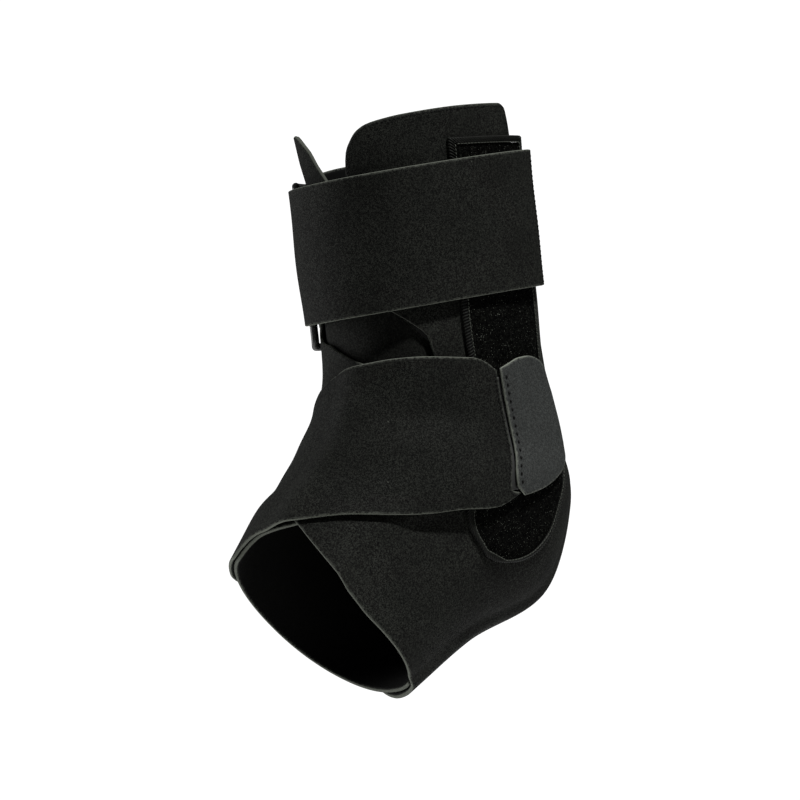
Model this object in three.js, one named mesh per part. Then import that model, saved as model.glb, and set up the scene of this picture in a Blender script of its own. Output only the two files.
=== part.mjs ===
import * as THREE from 'three';

// An ankle brace for a left foot, as worn: two laminate panels, a tongue, a strap that doubles
// back through a ring above the ankle, and a broad strap over the instep.
// Millimetres. +Z runs up the lower leg, the toes point to -Y and the outer side of the ankle is +X.
// The origin is the middle of the ankle joint.

// Size of the leg and foot hollow
const LEG_HEIGHT = 139;
const LEG_FRONT = 41;
const LEG_WIDTH = 74;
const FOOT_WIDTH = 74;
const FOOT_RUN = 44.3;
const HEEL_REACH = 50.8;
const SOLE_DROP = 80.8;
const SQUARENESS = 2.15;

// Cloth, webbing and plastic
const PANEL_WALL = 1.6;
const TONGUE_WALL = 1.8;
const TONGUE_LEAN = 3;
const STRAP_WALL = 1.3;
const PILE_WALL = 1.2;
const HOOK_WALL = 0.7;
const TAB_WALL = 1.4;
const WEBBING_WALL = 0.9;
const BINDING_WIDTH = 2.3;
const PLY_GAP = 0.4;
const LAP_GAP = 0.55;
const TONGUE_GAP = 0.8;

// Upper strap and its ring
const STRAP_WIDTH = 51;
const STRAP_DROP = 50.6;
const STRAP_LEVEL = LEG_HEIGHT - STRAP_DROP;
const STRAP_SLOPE = 0.075;
const STRAP_TILT = 0.025;
const STRAP_ROOT_ANGLE = 76;
const STRAP_END_ANGLE = 129;
const STRAP_END_LIFT = 1.4;
const RING_BAR = 3.0;
const RING_PLAY = 3.7;
const RING_TAB_WIDTH = 46;
const RING_LENGTH = Math.max(STRAP_WIDTH, RING_TAB_WIDTH) + 2 * RING_PLAY + RING_BAR;
const RING_DROP = 3.6;
const RING_LEVEL = STRAP_LEVEL - STRAP_SLOPE * LEG_FRONT - RING_DROP;
const RING_FREE_ANGLE = -30;
const RING_HELD_ANGLE = -60;
const RING_TAB_ANGLE = -84;

// Lower strap and its end
const INSTEP_STAND_OFF = 1.1;
const TAB_SEAM = 2.3;

// Stretches over which a sheet changes its level. The laps and strap ramps are in degrees, a
// Start or End along the sections or along the strap.
const RAMPS = {
  frontLap: { from: 9, to: 22 },
  frontLapStart: { from: 3, to: 3.6 },
  backLap: { from: -14, to: -3 },
  strapOntoPanel: { from: RING_FREE_ANGLE + 10, to: 22 },
  strapOntoPile: { from: RING_FREE_ANGLE, to: 60 },
  strapEnd: { from: 0.86, to: 1 },
  webbingOverBar: { from: RING_TAB_ANGLE + 8, to: RING_HELD_ANGLE },
  instepOntoPile: { from: 2, to: 20 },
  looseEdge: { from: 0.6, to: 1 },
  looseEdgeStart: { from: 30, to: 60 },
  looseEdgeEnd: { from: 80, to: 96 },
};

// Hook backings: where the upper one starts, its margins, and the shares of the tab that the lower covers
const UPPER_HOOK = { startAngle: 96, endMargin: 5, widthShare: 0.92, sectionPlace: 1.3 };
const LOWER_HOOK = { underStrap: 9, start: 0.03, top: 0.05, end: 0.95 };

// Steps that each piece is divided into
const STEPS = {
  outerPanelRows: 26,
  innerPanelColumns: 24,
  innerPanelRows: 26,
  tongueColumns: 12,
  tongueRows: 18,
  pileColumns: 7,
  pileRows: 20,
  bindingColumns: 5,
  bindingRows: 20,
  strapOver: 20,
  strapUnderDegrees: 8,
  strapFold: 8,
  strapRows: 5,
  webbing: 4,
  webbingFold: 6,
  webbingRows: 3,
  ringSides: 8,
  ringCorner: 3,
  lowerStrapRows: 12,
  tabColumns: 9,
  tabRows: 8,
  hookColumns: 8,
  upperHookColumns: 5,
  upperHookRows: 4,
};

const COLOURS = {
  laminate: 0x17181a,
  lining: 0x0c0d0f,
  pile: 0x0a0a0b,
  binding: 0x141416,
  hook: 0x0d0d0f,
  tab: 0x4a4c50,
  plastic: 0x0b0c0d,
  webbing: 0x101113,
};

// Sections of the hollow from the leg's top to the foot's opening. front is a share of LEG_FRONT,
// run of FOOT_RUN, back of HEEL_REACH; frontUp and backUp are shares of LEG_HEIGHT above the ankle
// and of SOLE_DROP below it.
const SECTIONS = [
  { name: 'top', front: 1, run: 0, frontUp: 1, back: 0.905, backUp: 1 },
  { name: 'calf', front: 0.963, run: 0, frontUp: 0.755, back: 0.886, backUp: 0.755 },
  { name: 'shin', front: 0.956, run: 0, frontUp: 0.518, back: 0.876, backUp: 0.504 },
  { name: 'throat', front: 0.951, run: 0, frontUp: 0.317, back: 0.896, backUp: 0.245 },
  { name: 'instep', front: 0.951, run: 0.09, frontUp: 0.194, back: 0.982, backUp: 0.018 },
  { name: 'heel', front: 0.951, run: 0.28, frontUp: 0.094, back: 1, backUp: -0.235 },
  { name: 'arch', front: 0.951, run: 0.53, frontUp: 0, back: 0.734, backUp: -0.618 },
  { name: 'ball', front: 0.951, run: 0.735, frontUp: -0.105, back: 0.024, backUp: -0.796 },
  { name: 'opening', front: 0.951, run: 1, frontUp: -0.3, back: -0.632, backUp: -1 },
];
// Their widths, as shares of LEG_WIDTH and FOOT_WIDTH, and where each is widest from front to back
const SECTION_WIDTHS = [
  { name: 'top', leg: 1, foot: 0, wide: 0.5 },
  { name: 'calf', leg: 0.973, foot: 0, wide: 0.5 },
  { name: 'shin', leg: 0.946, foot: 0, wide: 0.5 },
  { name: 'throat', leg: 0.46, foot: 0.459, wide: 0.5 },
  { name: 'instep', leg: 0, foot: 0.919, wide: 0.52 },
  { name: 'heel', leg: 0, foot: 1.022, wide: 0.52 },
  { name: 'arch', leg: 0, foot: 0.965, wide: 0.5 },
  { name: 'ball', leg: 0, foot: 0.949, wide: 0.5 },
  { name: 'opening', leg: 0, foot: 1, wide: 0.5 },
];
const LAST_SECTION = SECTIONS.length - 1;

// Cut edges. at is a place along the sections, 0 at the leg's top and 8 at the foot's opening;
// angle goes round a section, 0 at the front, 90 at the outer side and 180 at the back.
const OUTER_FRONT_EDGE = [
  { at: 0.8, angle: 22.5 }, { at: 1.6, angle: 25 }, { at: 2.35, angle: 30 }, { at: 2.53, angle: 33.5 },
  { at: 2.65, angle: 41 }, { at: 2.77, angle: 51.5 }, { at: 2.93, angle: 61 }, { at: 3.4, angle: 64 },
  { at: 4, angle: 60 }, { at: 5, angle: 49 }, { at: 6, angle: 37 }, { at: 7.27, angle: 21 },
];
const OUTER_TOP_EDGE = [
  { angle: 22.5, at: 0.8 }, { angle: 24, at: 0.55 }, { angle: 27.5, at: 0.41 }, { angle: 32, at: 0.31 },
  { angle: 38, at: 0.25 }, { angle: 46, at: 0.215 }, { angle: 58, at: 0.18 }, { angle: 96, at: 0.12 },
  { angle: 111, at: 0.115 }, { angle: 115, at: 0.16 }, { angle: 117, at: 0.3 }, { angle: 119.5, at: 0.7 },
  { angle: 124, at: 1.1 }, { angle: 134, at: 1.25 }, { angle: 215, at: 1.3 },
];
const OUTER_RIM = [
  { angle: 20, at: 7.24 }, { angle: 22, at: 7.27 }, { angle: 37, at: 7.53 }, { angle: 55, at: 7.77 },
  { angle: 71, at: 7.93 }, { angle: 86, at: 8 }, { angle: 170, at: 8 }, { angle: 192, at: 7.9 },
  { angle: 215, at: 7.6 },
];
const OUTER_BACK_EDGE = [{ at: 0.8, angle: 190 }, { at: 5, angle: 192 }, { at: 8, angle: 212 }];
const INNER_FRONT_EDGE = [
  { at: 0.85, angle: -42 }, { at: 2.1, angle: -42 }, { at: 2.42, angle: -36 }, { at: 2.6, angle: -26 },
  { at: 2.7, angle: -17 }, { at: 2.79, angle: -8 }, { at: 2.92, angle: -1 }, { at: 3.15, angle: 12.8 },
  { at: 3.4, angle: 27 }, { at: 3.7, angle: 41 }, { at: 4, angle: 53 }, { at: 4.3, angle: 59 },
  { at: 4.7, angle: 61 }, { at: 5.2, angle: 59 }, { at: 6, angle: 54 }, { at: 7, angle: 48 },
  { at: 8, angle: 46 },
];
const INNER_TOP_EDGE = [
  { angle: -190, at: 1.3 }, { angle: -155, at: 1.22 }, { angle: -146, at: 1 }, { angle: -138, at: 0.7 },
  { angle: -130, at: 0.56 }, { angle: -100, at: 0.53 }, { angle: -80, at: 0.575 }, { angle: -64, at: 0.63 },
  { angle: -52, at: 0.69 }, { angle: -46, at: 0.76 }, { angle: -42, at: 0.88 },
];
const INNER_RIM = [
  { angle: -215, at: 7.97 }, { angle: -24, at: 7.97 }, { angle: -13, at: 7.79 }, { angle: -4, at: 7.61 },
  { angle: 7, at: 7.47 }, { angle: 17, at: 7.34 }, { angle: 27, at: 7.17 }, { angle: 50, at: 7.05 },
];
const INNER_BACK_EDGE = [{ at: 0.8, angle: -188 }, { at: 5, angle: -190 }, { at: 8, angle: -210 }];
const TONGUE_OUTER_EDGE = [
  { at: 0.25, angle: -20 }, { at: 0.29, angle: -15 }, { at: 0.36, angle: -10 }, { at: 0.46, angle: -5 },
  { at: 0.62, angle: -1.5 }, { at: 0.8, angle: 3 }, { at: 1.3, angle: 16 }, { at: 2, angle: 33 },
  { at: 2.6, angle: 54 }, { at: 3, angle: 70 }, { at: 4.2, angle: 76 },
];
const TONGUE_INNER_EDGE = [
  { at: 0.25, angle: -28 }, { at: 0.29, angle: -33 }, { at: 0.36, angle: -38 }, { at: 0.5, angle: -42 },
  { at: 0.7, angle: -44 }, { at: 1, angle: -50 }, { at: 2, angle: -54 }, { at: 4.2, angle: -52 },
];
// How far the tongue's tip leans out, as shares of TONGUE_LEAN
const TONGUE_LIFT = [
  { at: 0.25, share: 1 }, { at: 0.55, share: 0.6 }, { at: 0.7, share: 0.3 }, { at: 0.82, share: 0.1 },
  { at: 1, share: 0 }, { at: 4.2, share: 0 },
];
const PILE_FRONT_EDGE = [
  { at: 0.47, angle: 79.5 }, { at: 2.4, angle: 79 }, { at: 3, angle: 80 }, { at: 5, angle: 80.5 },
  { at: 5.6, angle: 82.5 }, { at: 5.9, angle: 88 }, { at: 6.05, angle: 94 }, { at: 6.17, angle: 100 },
];
const PILE_BACK_EDGE = [
  { at: 0.47, angle: 127 }, { at: 1.6, angle: 129 }, { at: 3, angle: 131.5 }, { at: 4.38, angle: 132 },
  { at: 4.72, angle: 129.5 }, { at: 5.07, angle: 128 }, { at: 5.43, angle: 126.5 }, { at: 5.7, angle: 122.5 },
  { at: 5.95, angle: 116 }, { at: 6.1, angle: 109.5 }, { at: 6.17, angle: 105 },
];
const LOWER_TOP_EDGE = [
  { angle: -86, at: 6.2 }, { angle: -60, at: 5.2 }, { angle: -35, at: 4.4 }, { angle: -18, at: 3.85 },
  { angle: -7, at: 3.5 }, { angle: 4, at: 3.28 }, { angle: 14, at: 3.16 }, { angle: 28, at: 3.07 },
  { angle: 42, at: 3 }, { angle: 58, at: 2.965 }, { angle: 80, at: 2.97 }, { angle: 86, at: 3.02 },
  { angle: 91, at: 3.13 },
];
const LOWER_BOTTOM_EDGE = [
  { angle: -86, at: 7.5 }, { angle: -64, at: 7.85 }, { angle: -45, at: 8 }, { angle: -22, at: 8 },
  { angle: -13, at: 7.82 }, { angle: -4, at: 7.64 }, { angle: 7, at: 7.5 }, { angle: 17, at: 7.37 },
  { angle: 27, at: 7.23 }, { angle: 49, at: 6.72 }, { angle: 66, at: 6.07 }, { angle: 79, at: 5.67 },
  { angle: 90, at: 5.47 }, { angle: 97, at: 5.2 },
];
const LOWER_END_EDGE = [
  { at: 3.1, angle: 90.5 }, { at: 3.8, angle: 90.7 }, { at: 4.8, angle: 91.3 }, { at: 5.05, angle: 93 }, { at: 5.22, angle: 97 },
];
const TAB_TOP_EDGE = [
  { angle: 90, at: 3.14 }, { angle: 97.5, at: 3.03 }, { angle: 104, at: 2.95 }, { angle: 112, at: 2.92 },
  { angle: 119, at: 2.95 }, { angle: 124.5, at: 3.05 }, { angle: 127.5, at: 3.35 },
];
const TAB_BOTTOM_EDGE = [
  { angle: 90, at: 5.35 }, { angle: 97.5, at: 5.23 }, { angle: 108, at: 5.02 }, { angle: 115, at: 4.83 },
  { angle: 121, at: 4.62 }, { angle: 125.5, at: 4.35 }, { angle: 127.5, at: 4.05 },
];
const TAB_BACK_ANGLE = 127.5;

const DEGREES = 180 / Math.PI;

function mix(a, b, t) {
  return a + (b - a) * t;
}

function smooth(from, to, value) {
  const t = THREE.MathUtils.clamp((value - from) / (to - from), 0, 1);
  return t * t * (3 - 2 * t);
}

function ramp(stretch, value) {
  return smooth(stretch.from, stretch.to, value);
}

// Smooth curve through a short table: value of the column at the given key.
function follow(table, key, column, place) {
  const last = table.length - 1;
  if (place <= table[0][key]) return table[0][column];
  if (place >= table[last][key]) return table[last][column];
  let i = 0;
  while (place > table[i + 1][key]) i += 1;
  const span = table[i + 1][key] - table[i][key];
  const t = (place - table[i][key]) / span;
  const rise = (k) => (table[k + 1][column] - table[k][column]) / (table[k + 1][key] - table[k][key]);
  const slopeAt = (k) => {
    if (k === 0) return rise(0);
    if (k === last) return rise(last - 1);
    const before = rise(k - 1);
    const after = rise(k);
    return before * after <= 0 ? 0 : (2 * before * after) / (before + after);
  };
  const t2 = t * t;
  const t3 = t2 * t;
  return (2 * t3 - 3 * t2 + 1) * table[i][column] + (t3 - 2 * t2 + t) * span * slopeAt(i)
    + (3 * t2 - 2 * t3) * table[i + 1][column] + (t3 - t2) * span * slopeAt(i + 1);
}

function rise(share) {
  return share > 0 ? share * LEG_HEIGHT : share * SOLE_DROP;
}

// Each section's front and back points, half width and widest place.
const SECTION_SIZES = SECTIONS.map((row, k) => [
  -(row.front * LEG_FRONT + row.run * FOOT_RUN),
  rise(row.frontUp),
  row.back * HEEL_REACH,
  rise(row.backUp),
  (SECTION_WIDTHS[k].leg * LEG_WIDTH + SECTION_WIDTHS[k].foot * FOOT_WIDTH) / 2,
  SECTION_WIDTHS[k].wide,
]);

// The sections run on a little past both ends, for edges that stand proud.
const OVERRUN = { top: 0.5, bottom: 0.2 };

function sectionAt(at) {
  const place = THREE.MathUtils.clamp(at, -OVERRUN.top, LAST_SECTION + OVERRUN.bottom);
  const i = THREE.MathUtils.clamp(Math.floor(place), 0, LAST_SECTION - 1);
  const t = place - i;
  const row = (k, column) => {
    if (k < 0) return 2 * SECTION_SIZES[0][column] - SECTION_SIZES[1][column];
    if (k > LAST_SECTION) return 2 * SECTION_SIZES[LAST_SECTION][column] - SECTION_SIZES[LAST_SECTION - 1][column];
    return SECTION_SIZES[k][column];
  };
  return SECTION_SIZES[0].map((_, column) => {
    const [p, q, r, s] = [row(i - 1, column), row(i, column), row(i + 1, column), row(i + 2, column)];
    return 0.5 * (2 * q + (r - p) * t + (2 * p - 5 * q + 4 * r - s) * t * t + (3 * q - p - 3 * r + s) * t * t * t);
  });
}

function hollowPoint(at, angle) {
  const [frontY, frontZ, backY, backZ, halfWidth, wide] = sectionAt(at);
  const turn = angle / DEGREES;
  const bend = (value) => Math.sign(value) * Math.abs(value) ** (2 / SQUARENESS);
  const along = bend(Math.cos(turn));
  const midY = mix(frontY, backY, wide);
  const midZ = mix(frontZ, backZ, wide);
  const endY = along >= 0 ? frontY - midY : midY - backY;
  const endZ = along >= 0 ? frontZ - midZ : midZ - backZ;
  return new THREE.Vector3(halfWidth * bend(Math.sin(turn)), midY + endY * along, midZ + endZ * along);
}

function hollowNormal(at, angle) {
  const step = 0.01;
  const turn = 0.6;
  const down = hollowPoint(at + step, angle).sub(hollowPoint(at - step, angle));
  const round = hollowPoint(at, angle + turn).sub(hollowPoint(at, angle - turn));
  return down.cross(round).normalize();
}

// A point standing off the hollow's wall by a distance.
function skin(at, angle, off) {
  return hollowPoint(at, angle).addScaledVector(hollowNormal(at, angle), off);
}

// The place along the sections where the skin at this angle has the given height.
function placeAtHeight(height, angle, off) {
  let high = -OVERRUN.top;
  let low = 4;
  const halvings = 26;
  for (let i = 0; i < halvings; i += 1) {
    const middle = (high + low) / 2;
    if (skin(middle, angle, off).z > height) high = middle;
    else low = middle;
  }
  return (high + low) / 2;
}

function skinAtHeight(height, angle, off) {
  return skin(placeAtHeight(height, angle, off), angle, off);
}

// Degrees round the section that a length takes at a place on the hollow.
function degreesAcross(length, at, angle) {
  return length / hollowPoint(at, angle + 0.5).distanceTo(hollowPoint(at, angle - 0.5));
}

// How far the outer panel stands off the hollow: it lies over the inner panel's edges.
function outerPanelOff(at, angle) {
  const lap = PANEL_WALL + LAP_GAP;
  const pastInnerEdge = angle - follow(INNER_FRONT_EDGE, 'at', 'angle', at);
  const frontLap = (1 - ramp(RAMPS.frontLap, pastInnerEdge)) * ramp(RAMPS.frontLapStart, at);
  const innerEdge = 360 + follow(INNER_BACK_EDGE, 'at', 'angle', at);
  const backLap = ramp(RAMPS.backLap, angle - innerEdge);
  return lap * Math.max(frontLap, backLap);
}

const ON_PANEL = PANEL_WALL + PLY_GAP;
const ON_PILE = ON_PANEL + PILE_WALL + PLY_GAP;
const STRAP_OFF = ON_PILE + HOOK_WALL + PLY_GAP;

// Closed body between two grids of points; a ring of columns or rows may close on itself.
function closedGrid(outer, inner) {
  const rows = outer.length;
  const columns = outer[0].length;
  const positions = [];
  outer.forEach((line) => line.forEach((p) => positions.push(p.x, p.y, p.z)));
  inner.forEach((line) => line.forEach((p) => positions.push(p.x, p.y, p.z)));
  const out = (i, j) => i * columns + j;
  const into = (i, j) => rows * columns + i * columns + j;
  const faces = [];
  const quad = (a, b, c, d) => faces.push(a, b, c, a, c, d);
  for (let i = 0; i < rows - 1; i += 1) {
    for (let j = 0; j < columns - 1; j += 1) {
      quad(out(i, j), out(i + 1, j), out(i + 1, j + 1), out(i, j + 1));
      quad(into(i, j), into(i, j + 1), into(i + 1, j + 1), into(i + 1, j));
    }
    quad(out(i, 0), into(i, 0), into(i + 1, 0), out(i + 1, 0));
    quad(out(i, columns - 1), out(i + 1, columns - 1), into(i + 1, columns - 1), into(i, columns - 1));
  }
  for (let j = 0; j < columns - 1; j += 1) {
    quad(out(0, j), out(0, j + 1), into(0, j + 1), into(0, j));
    quad(out(rows - 1, j), into(rows - 1, j), into(rows - 1, j + 1), out(rows - 1, j + 1));
  }
  return bodyOf(positions, faces);
}

// Tube through a closed loop of section rings.
function closedLoop(rings) {
  const count = rings.length;
  const sides = rings[0].length;
  const positions = [];
  rings.forEach((ring) => ring.forEach((p) => positions.push(p.x, p.y, p.z)));
  const faces = [];
  for (let i = 0; i < count; i += 1) {
    for (let j = 0; j < sides; j += 1) {
      const next = (i + 1) % count;
      const side = (j + 1) % sides;
      const [a, b, c, d] = [i * sides + j, next * sides + j, next * sides + side, i * sides + side];
      faces.push(a, b, c, a, c, d);
    }
  }
  return bodyOf(positions, faces);
}

function signedVolume(positions, faces) {
  let sum = 0;
  const corner = (k) => new THREE.Vector3().fromArray(positions, faces[k] * 3);
  for (let k = 0; k < faces.length; k += 3) sum += corner(k).dot(corner(k + 1).cross(corner(k + 2)));
  return sum;
}

function bodyOf(positions, faces) {
  const outward = signedVolume(positions, faces) > 0;
  const turned = [];
  for (let k = 0; k < faces.length; k += 3) {
    turned.push(faces[k], faces[outward ? k + 1 : k + 2], faces[outward ? k + 2 : k + 1]);
  }
  const geometry = new THREE.BufferGeometry();
  geometry.setAttribute('position', new THREE.Float32BufferAttribute(positions, 3));
  geometry.setIndex(turned);
  geometry.computeVertexNormals();
  return geometry;
}

// A sheet wrapped on the hollow: place(u, v) gives where a point of it lies and how far off.
function wrappedSheet(acrossShares, alongShares, wall, place) {
  const outer = [];
  const inner = [];
  alongShares.forEach((v) => {
    const outerLine = [];
    const innerLine = [];
    acrossShares.forEach((u) => {
      const { at, angle, off } = place(u, v);
      outerLine.push(skin(at, angle, off + wall));
      innerLine.push(skin(at, angle, off));
    });
    outer.push(outerLine);
    inner.push(innerLine);
  });
  return closedGrid(outer, inner);
}

function shares(count) {
  return Array.from({ length: count + 1 }, (_, i) => i / count);
}

// Shares of a whole run, from its stretches and how many steps each has.
function stretchedShares(stretches) {
  const from = stretches[0].from;
  const whole = stretches[stretches.length - 1].to - from;
  const list = [0];
  stretches.forEach(({ from: start, to, steps }) => {
    for (let i = 1; i <= steps; i += 1) list.push((mix(start, to, i / steps) - from) / whole);
  });
  return list;
}

function finish(colour, roughness, metalness) {
  return new THREE.MeshStandardMaterial({ color: colour, roughness, metalness });
}

function piece(name, geometry, material) {
  const mesh = new THREE.Mesh(geometry, material);
  mesh.name = name;
  return mesh;
}

// Outer panel: the wing beside the leg, the side of the heel and foot, lapped over at the back
// and under the sole.
function outerPanel() {
  const across = stretchedShares([
    { from: 22.5, to: 42, steps: 4 },
    { from: 42, to: 111, steps: 7 },
    { from: 111, to: 124, steps: 4 },
    { from: 124, to: 190, steps: 8 },
  ]);
  const topCorner = OUTER_FRONT_EDGE[0].at;
  const rimCorner = OUTER_FRONT_EDGE[OUTER_FRONT_EDGE.length - 1].at;
  return wrappedSheet(across, shares(STEPS.outerPanelRows), PANEL_WALL, (u, v) => {
    const edgeAt = mix(topCorner, rimCorner, v);
    const front = follow(OUTER_FRONT_EDGE, 'at', 'angle', edgeAt);
    const back = follow(OUTER_BACK_EDGE, 'at', 'angle', mix(topCorner, LAST_SECTION, v));
    const angle = mix(front, back, u);
    const top = follow(OUTER_TOP_EDGE, 'angle', 'at', angle);
    const rim = follow(OUTER_RIM, 'angle', 'at', angle);
    const at = mix(top, rim, v);
    return { at, angle, off: outerPanelOff(at, angle) };
  });
}

// Inner panel: the wing on the ankle's inner side, the instep and the inner side of the foot.
function innerPanel() {
  const topCorner = INNER_FRONT_EDGE[0].at;
  const rimCorner = LAST_SECTION;
  const columns = shares(STEPS.innerPanelColumns);
  return wrappedSheet(columns, shares(STEPS.innerPanelRows), PANEL_WALL, (u, v) => {
    const edgeAt = mix(topCorner, rimCorner, v);
    const front = follow(INNER_FRONT_EDGE, 'at', 'angle', edgeAt);
    const back = follow(INNER_BACK_EDGE, 'at', 'angle', edgeAt);
    const angle = mix(front, back, u);
    const top = follow(INNER_TOP_EDGE, 'angle', 'at', Math.min(angle, INNER_FRONT_EDGE[0].angle));
    const rim = follow(INNER_RIM, 'angle', 'at', angle);
    return { at: mix(top, rim, v), angle, off: 0 };
  });
}

function tongue() {
  const topAt = TONGUE_OUTER_EDGE[0].at;
  const bottomAt = TONGUE_OUTER_EDGE[TONGUE_OUTER_EDGE.length - 1].at;
  const rowSpread = 1.2;
  const columns = shares(STEPS.tongueColumns);
  return wrappedSheet(columns, shares(STEPS.tongueRows), TONGUE_WALL, (u, v) => {
    const at = mix(topAt, bottomAt, v ** rowSpread);
    const from = follow(TONGUE_INNER_EDGE, 'at', 'angle', at);
    const to = follow(TONGUE_OUTER_EDGE, 'at', 'angle', at);
    const lift = TONGUE_LEAN * follow(TONGUE_LIFT, 'at', 'share', at);
    return { at, angle: mix(from, to, u), off: lift - TONGUE_WALL - TONGUE_GAP };
  });
}

function pileOff(at, angle) {
  return outerPanelOff(at, angle) + ON_PANEL;
}

// A place inside the pile strip's outline, at a given distance in from its edges.
function pilePlace(u, v, inset) {
  const topAt = PILE_FRONT_EDGE[0].at;
  const bottomAt = PILE_FRONT_EDGE[PILE_FRONT_EDGE.length - 1].at;
  const plain = mix(topAt, bottomAt, v);
  const front = follow(PILE_FRONT_EDGE, 'at', 'angle', plain);
  const back = follow(PILE_BACK_EDGE, 'at', 'angle', plain);
  const middle = (front + back) / 2;
  const step = 0.2;
  const perSection = hollowPoint(plain - step, middle).distanceTo(hollowPoint(plain + step, middle)) / (2 * step);
  const turn = degreesAcross(inset, plain, middle);
  const slide = inset / perSection;
  const at = THREE.MathUtils.clamp(plain, topAt + slide, bottomAt - slide);
  return { at, angle: mix(front + turn, back - turn, u) };
}

function pileStrip() {
  return wrappedSheet(shares(STEPS.pileColumns), shares(STEPS.pileRows), PILE_WALL, (u, v) => {
    const { at, angle } = pilePlace(u, v, BINDING_WIDTH + PLY_GAP);
    return { at, angle, off: pileOff(at, angle) };
  });
}

// Binding sewn round the pile strip.
function pileBinding() {
  const rows = STEPS.bindingRows;
  const columns = STEPS.bindingColumns;
  const corners = [];
  for (let i = 0; i < rows; i += 1) corners.push([0, i / rows]);
  for (let i = 0; i < columns; i += 1) corners.push([i / columns, 1]);
  for (let i = 0; i < rows; i += 1) corners.push([1, 1 - i / rows]);
  for (let i = 0; i < columns; i += 1) corners.push([1 - i / columns, 0]);
  const rings = corners.map(([u, v]) => {
    const outside = pilePlace(u, v, 0);
    const inside = pilePlace(u, v, BINDING_WIDTH);
    const base = pileOff(outside.at, outside.angle);
    const innerBase = pileOff(inside.at, inside.angle);
    return [
      skin(outside.at, outside.angle, base),
      skin(outside.at, outside.angle, base + PILE_WALL),
      skin(inside.at, inside.angle, innerBase + PILE_WALL),
      skin(inside.at, inside.angle, innerBase),
    ];
  });
  return closedLoop(rings);
}

const RING_RADIUS = RING_BAR / 2;
const FOLD_RADIUS = RING_RADIUS + PLY_GAP + STRAP_WALL / 2;
const TAB_FOLD_RADIUS = RING_RADIUS + PLY_GAP + WEBBING_WALL / 2;
const RING_FREE_OFF = PANEL_WALL + PLY_GAP + RING_RADIUS;
const RING_HELD_OFF = ON_PANEL + WEBBING_WALL + PLY_GAP + RING_RADIUS;

// Height of the strap's middle line at a place on the leg.
function strapLevel(place) {
  return STRAP_LEVEL + STRAP_SLOPE * place.y + STRAP_TILT * place.x;
}

function degreesFor(length, height, angle) {
  return length / skinAtHeight(height, angle + 0.5, 0).distanceTo(skinAtHeight(height, angle - 0.5, 0));
}

// Steps of a strip that goes out along the skin, round a bar and back: angle and middle offset.
function foldedPath(lower, bar, upper, foldSteps) {
  const path = lower.map((p) => ({ ...p }));
  const side = Math.sign(bar.angle - lower[0].angle);
  for (let i = 0; i <= foldSteps; i += 1) {
    const turn = Math.PI * (i / foldSteps);
    const slide = bar.radius * Math.sin(turn);
    path.push({
      angle: bar.angle + side * degreesFor(slide, RING_LEVEL, bar.angle),
      off: bar.off - bar.radius * Math.cos(turn),
      turn,
    });
  }
  return path.concat(upper.map((p) => ({ ...p, turn: Math.PI })));
}

// Outer and inner face of a folded strip, from its middle line at each height.
function foldedStrip(path, wall, heights, lift) {
  const outer = [];
  const inner = [];
  heights.forEach((share) => {
    const line = path.map(({ angle, off }, k) => {
      const middle = skinAtHeight(RING_LEVEL, angle, off);
      return skinAtHeight(share.height(middle), angle, off + lift(k / (path.length - 1), share.share));
    });
    const normals = line.map((p, k) => {
      const before = line[Math.max(k - 1, 0)];
      const after = line[Math.min(k + 1, line.length - 1)];
      return new THREE.Vector3(0, 0, 1).cross(after.clone().sub(before)).normalize();
    });
    outer.push(line.map((p, k) => p.clone().addScaledVector(normals[k], wall / 2)));
    inner.push(line.map((p, k) => p.clone().addScaledVector(normals[k], -wall / 2)));
  });
  return closedGrid(outer, inner);
}

function upperStrap() {
  const onPanel = ON_PANEL + STRAP_WALL / 2;
  const outside = STRAP_OFF + STRAP_WALL / 2;
  const underBar = RING_FREE_OFF - FOLD_RADIUS;
  const overBar = RING_FREE_OFF + FOLD_RADIUS;
  const lower = [];
  for (let angle = STRAP_ROOT_ANGLE; angle > RING_FREE_ANGLE + 2; angle -= STEPS.strapUnderDegrees) {
    lower.push({ angle, off: mix(underBar, onPanel, ramp(RAMPS.strapOntoPanel, angle)) });
  }
  const upper = [];
  for (let i = 1; i <= STEPS.strapOver; i += 1) {
    const angle = mix(RING_FREE_ANGLE, STRAP_END_ANGLE, i / STEPS.strapOver);
    upper.push({ angle, off: mix(overBar, outside, ramp(RAMPS.strapOntoPile, angle)) });
  }
  const bar = { angle: RING_FREE_ANGLE, off: RING_FREE_OFF, radius: FOLD_RADIUS };
  const path = foldedPath(lower, bar, upper, STEPS.strapFold);
  const heights = shares(STEPS.strapRows).map((share) => ({
    share,
    height: (place) => strapLevel(place) + STRAP_WIDTH * (0.5 - share),
  }));
  const endLift = (run, share) => STRAP_END_LIFT * ramp(RAMPS.strapEnd, run) * share;
  return foldedStrip(path, STRAP_WALL, heights, endLift);
}

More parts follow.
